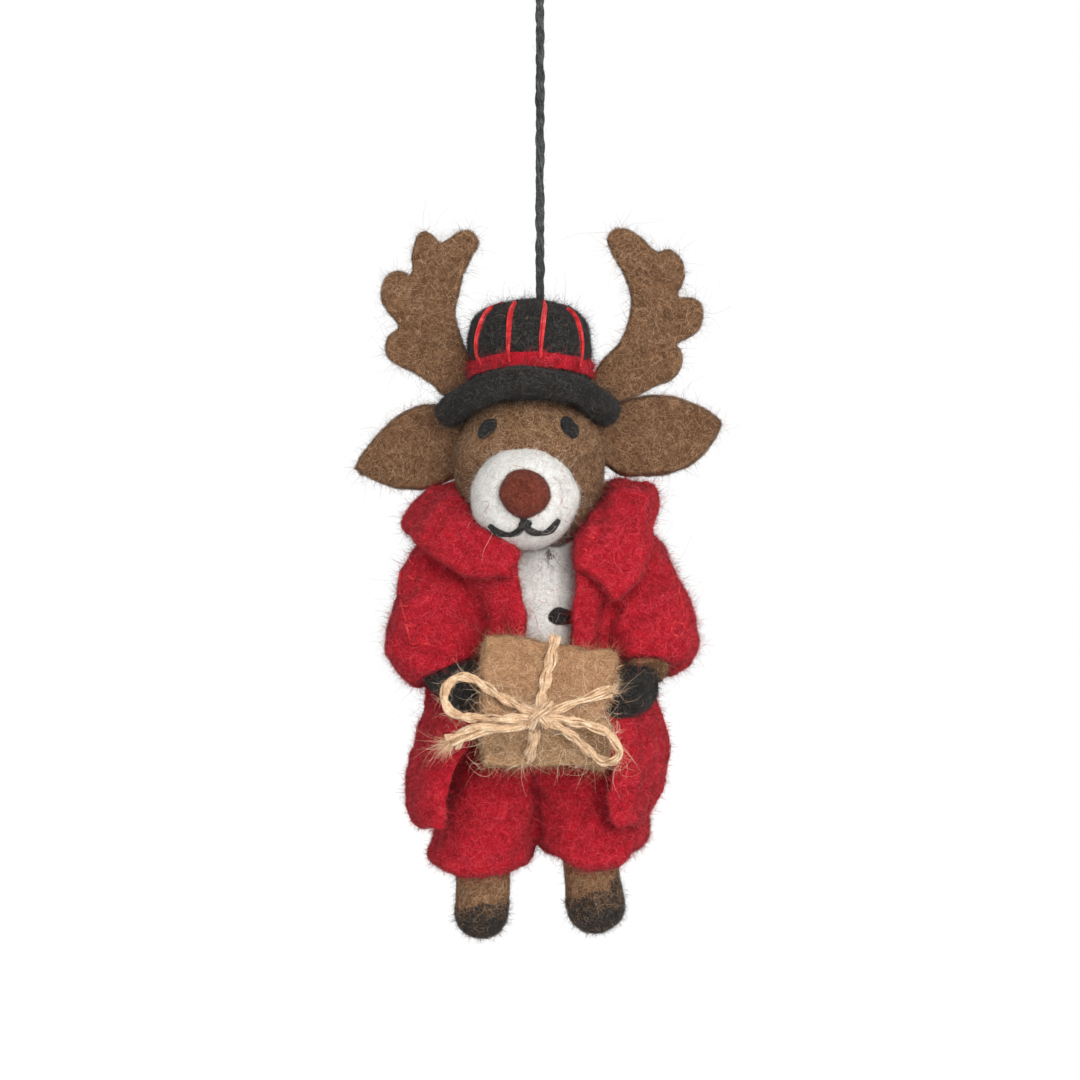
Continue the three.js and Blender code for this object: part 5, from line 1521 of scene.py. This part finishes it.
# The last number here is a share of the parcel's depth
WRAP_BEHIND = [(554, 637, 0.5), (553, 652, 1), (545, 690, 1), (532, 738, 1), (530, 753, 0.5)]
WRAP_ON = [(530.5, 747, 0.7), (533, 739, 0.8), (535, 726, 1.2)]
LOOP_LEFT = [
    (538, 711, 3.4), (529, 707, 3.2), (513, 699, 2.6), (497, 690, 2.4), (484, 681, 2.4), (472, 675, 2.6),
    (460, 674, 3), (450, 682, 3.2), (447, 695, 3.4), (452, 706, 3.4), (465, 712, 3.2), (484, 714, 3),
    (504, 714, 3), (522, 713, 3.2), (538, 712, 3),
]
LOOP_RIGHT = [
    (541, 713, 3.6), (556, 714, 3), (572, 717, 2.6), (591, 721, 2.6), (608, 730, 2.6), (616, 742, 2.4),
    (617, 750, 2.2), (611, 756, 2), (601, 756, 1.8), (590, 748, 1.8), (578, 737, 1.8), (565, 726, 2.2),
    (549, 717, 2.6),
]
TAIL_LEFT = [
    (540, 714, 2.2), (522, 719, 2), (500, 723, 1.9), (482, 725, 1.9), (466, 730, 1.9), (453, 738, 1.8),
]
TAIL_RIGHT = [(540, 712, 2), (556, 706, 1.4), (574, 699, 1.3), (594, 692, 1.3), (610, 687, 1.3)]
KNOT_OVER = [(531, 722, 2.2), (534, 715, 3.8), (540, 709, 4.4), (546, 704, 3.4), (550, 700, 1.8)]
KNOT_UNDER = [(530, 705, 2.4), (536, 709, 3.6), (542, 715, 3.8), (548, 721, 2.4)]
TWINES = [
    ("bow_loop_left", LOOP_LEFT),
    ("bow_loop_right", LOOP_RIGHT),
    ("bow_tail_left", TAIL_LEFT, TAIL_LEFT_TWINE, 9, TAIL_LAY, 1.3, TAIL_LEFT_HAIRS),
    ("bow_tail_right", TAIL_RIGHT, TAIL_RIGHT_TWINE, 6, TAIL_LAY, 0.8, TAIL_RIGHT_HAIRS),
    ("bow_knot", KNOT_OVER, KNOT_TWINE),
]
WISPS = 420
WISP_AREA = ((478, 622), (688, 764))  # on the photograph
WISP_LENGTHS = (3, 9)
WISP_WIDTH = 0.05 * MM
WISP_WAYS = ((0, -0.25, 0), (1, 0.2, 1))
EDGE_FRAY = [(616, 660), (616, 672), (614, 684), (609, 697), (603, 706)]
EDGE_FIBRES = 130
EDGE_FIBRE_LENGTHS = (0.5, 1.5)
EDGE_FIBRE_WAYS = ((1, -0.3, 0), (0.3, 0.3, 0.5))


def make_parcel():
    """The upper half is tan, and the lower one, folded back a little, takes a khaki copy of the felt as
    painted shade.
    """
    obj = soft_copy("parcel", "tan_felt")
    drag(obj, PARCEL_MOVES, PARCEL_REACH)
    push(obj, PARCEL_PUSHES, PARCEL_REACH)
    furrow(obj, PARCEL_CREASE, PARCEL_CREASE_DEPTH, PARCEL_CREASE_WIDTH)
    crumple(obj, "parcel")
    obj.data.materials.append(felt_material("khaki_felt", PARCEL_PAINTED_SHADE))
    crease = places_at(PARCEL_CREASE)
    # faces below the crease take the painted shade
    for face in obj.data.polygons:
        face.material_index = int(face.center.z < np.interp(face.center.x, crease[:, 0], crease[:, 2]))
    return stuffed(obj, "parcel", "tan_felt")


def make_twine(name, route, node, diameter=TWINE, threads=6, lay=TWINE_LAY, fray=0.0, hairs=TWINE_HAIRS):
    """Twine along places, its far end opened as far as fray says."""
    twist = (threads, lay, TWINE_STEP, TWINE_LOOSE, TWINE_PLY_SHARE, fray)
    make_yarn(name, route, "jute", diameter, twist, hairs, 5, node)


def off_parcel(tree, route):
    return [on_front(tree, px, py)[0] - Vector((0, lift * MM, 0)) for px, py, lift in route]


def wrap_places(tree):
    """Up the front, over the top, down behind the parcel, and up to the knot again."""
    front, back = (corner[1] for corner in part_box("parcel"))
    behind = [place_at(px, py, front + (back - front) * share) for px, py, share in WRAP_BEHIND]
    return off_parcel(tree, WRAP_UP) + behind + off_parcel(tree, WRAP_ON)


def make_wisps(tree):
    """Long curly fibres that have come off the twine and lie over the parcel."""
    low, high = np.array(WISP_AREA).T
    pixels = rng.uniform(low, high, (WISPS, 2))
    looks = WISP_LENGTHS, 0.3, 12, (0.5, 1), WISP_WIDTH, "jute", "jute"
    make_hairs("bow_wisps", tree, pixels, 0.5 * MM, WISP_WAYS, *looks)


def make_edge_fray(tree):
    """Fibres that stand out of the parcel's cut edge."""
    pixels = smooth_rows(EDGE_FRAY, EDGE_FIBRES) + rng.normal(0, 1.2, (EDGE_FIBRES, 2)) - (2, 0)
    looks = EDGE_FIBRE_LENGTHS, 0.3, 4, (0, 0.8), COARSE_HAIR, "jute", "tan_felt"
    make_hairs("parcel_fray", tree, pixels, -0.3 * MM, EDGE_FIBRE_WAYS, *looks)


parcel_tree = tree_of(make_parcel())
make_twine("twine_wrap_jute", wrap_places(parcel_tree), "twine_wrap", WRAP_TWINE)
for node, route, *twine in TWINES:
    make_twine(node + "_jute", off_parcel(parcel_tree, route), node, *twine)
make_twine("bow_knot_under", off_parcel(parcel_tree, KNOT_UNDER), None)
make_wisps(parcel_tree)
make_edge_fray(parcel_tree)


# Cord, loop and knots

CORD = 1.8 * MM
CORD_TWIST = (6, 8 * MM, 0.4 * MM, 0.25, 0.42)  # threads, lay, step, how unevenly they lie, and a ply's share
CORD_HAIRS = (9, 1.2, 0.045)
CORD_POINTS = 16
CORD_TOP = Vector((0, 0, -23.2 * MM))  # inside the knot
CORD_FOOT = Vector((0, 0, -94.5 * MM))
LOOP_WIDTH = 12 * MM
LOOP_BOW = 1.3
LOOP_TAPER = 1.5
LOOP_LEG_SPACING = 2.1 * MM
LOOP_POINTS = 24
LOOP_TUCK = 1.4 * MM  # how far its ends reach into the knot
KNOT_SHARE = 0.72  # how far the knot's yarn runs out in its box
KNOT_YARN = 1.65 * MM
KNOT_POINTS = 36
KNOT_DEPTH = 1.4  # of 3, which fills the box


def make_rope(name, route, diameter, body, node):
    return make_yarn(name, route, "dark_cord", diameter, CORD_TWIST, CORD_HAIRS, 5, node, body)


def knot_route(node):
    """A closed overhand knot that fills a node's box."""
    low, high = (np.array(corner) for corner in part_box(node))
    middle, half = (low + high) / 2, (high - low) / 2
    turns = np.linspace(0, 2 * math.pi, KNOT_POINTS)
    ways = [
        np.sin(turns) + 2 * np.sin(2 * turns),
        KNOT_DEPTH * np.sin(3 * turns),
        np.cos(turns) - 2 * np.cos(2 * turns),
    ]
    return middle + half * np.stack(ways, axis=1) / 3 * KNOT_SHARE


def loop_route():
    top, foot = CORD / 2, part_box("hanging_loop")[0][2] - LOOP_TUCK
    turns = np.linspace(0, 2 * math.pi, LOOP_POINTS + 1)
    bow = np.sin(turns) * np.abs(np.sin(turns / 2)) ** LOOP_TAPER
    x = LOOP_WIDTH / 2 * LOOP_BOW * bow + LOOP_LEG_SPACING / 2 * np.cos(turns / 2)
    return np.stack([x, x * 0, foot + (top - foot) * (1 - np.cos(turns)) / 2], axis=1)


def make_cords():
    route = [CORD_TOP.lerp(CORD_FOOT, share) for share in np.linspace(0, 1, CORD_POINTS)]
    cord, middle = make_rope("cord_yarn", route, CORD, "cord", "cord")
    knot, _ = make_rope("loop_knot_yarn", knot_route("loop_knot"), KNOT_YARN, "knot", "loop_knot")
    make_rope("cord_anchor_yarn", knot_route("cord_anchor"), KNOT_YARN, FIGURE, "cord_anchor")
    loop, middle = make_rope("hanging_loop_yarn", loop_route(), CORD, "loop", "hanging_loop")


make_cords()
grow_fuzz()


# The camera and the stage

FLOOR_GLOW = 0.6
FLOOR_COLOUR = (0.8, 0.8, 0.8, 1)


def make_camera():
    camera = bpy.data.objects.new("camera", bpy.data.cameras.new("camera"))
    bpy.context.scene.collection.objects.link(camera)
    camera.data.sensor_width = SENSOR
    camera.data.lens = SENSOR * CAMERA_DISTANCE / (PHOTO_SIDE * PHOTO_SCALE)
    camera.location = (0, -CAMERA_DISTANCE, PHOTO_MIDDLE_Z)
    camera.rotation_euler = (math.radians(90), 0, 0)
    bpy.context.scene.camera = camera


def make_lamp(name, place, power, size):
    lamp = bpy.data.lights.new(name, "AREA")
    lamp.energy = power
    lamp.size = size
    obj = bpy.data.objects.new(name, lamp)
    bpy.context.scene.collection.objects.link(obj)
    obj.location = place
    aim = Vector((0, 0, PHOTO_MIDDLE_Z)) - Vector(place)
    obj.rotation_euler = aim.to_track_quat("-Z", "Y").to_euler()


def seen_white(graph):
    """1 for rays from the camera, or seen in gloss and glass."""
    ray = graph.add("LightPath", {})
    seen = graph.math("MAXIMUM", ray["Is Camera Ray"], ray["Is Glossy Ray"])
    return graph.math("MAXIMUM", seen, ray["Is Transmission Ray"])


def make_world():
    world = bpy.data.worlds.new("studio")
    bpy.context.scene.world = world
    graph = Graph(world)
    strength = graph.math("MULTIPLY_ADD", seen_white(graph), 1 - AMBIENT, AMBIENT)
    graph.set(graph.nodes["Background"], {"Color": (1, 1, 1, 1), "Strength": strength})


def make_floor():
    low = cad_box[0][2] - FLOOR_DROP
    half = FLOOR_SIZE / 2
    points = np.array([(-half, -half, low), (half, -half, low), (half, half, low), (-half, half, low)])
    material = bpy.data.materials.new("floor")
    graph = Graph(material)
    graph.set(graph.nodes["Principled BSDF"], {
        "Base Color": FLOOR_COLOUR,
        "Roughness": 1,
        "Specular IOR Level": 0,
        "Emission Color": (1, 1, 1, 1),
        "Emission Strength": graph.math("MULTIPLY", seen_white(graph), FLOOR_GLOW),
    })
    mesh_object("floor", points, np.array([[0, 1, 2, 3]]), material)


make_camera()
for name, lamp in LAMPS.items():
    make_lamp(name, *lamp)
make_world()
make_floor()
bpy.context.scene.view_settings.view_transform = "Standard"
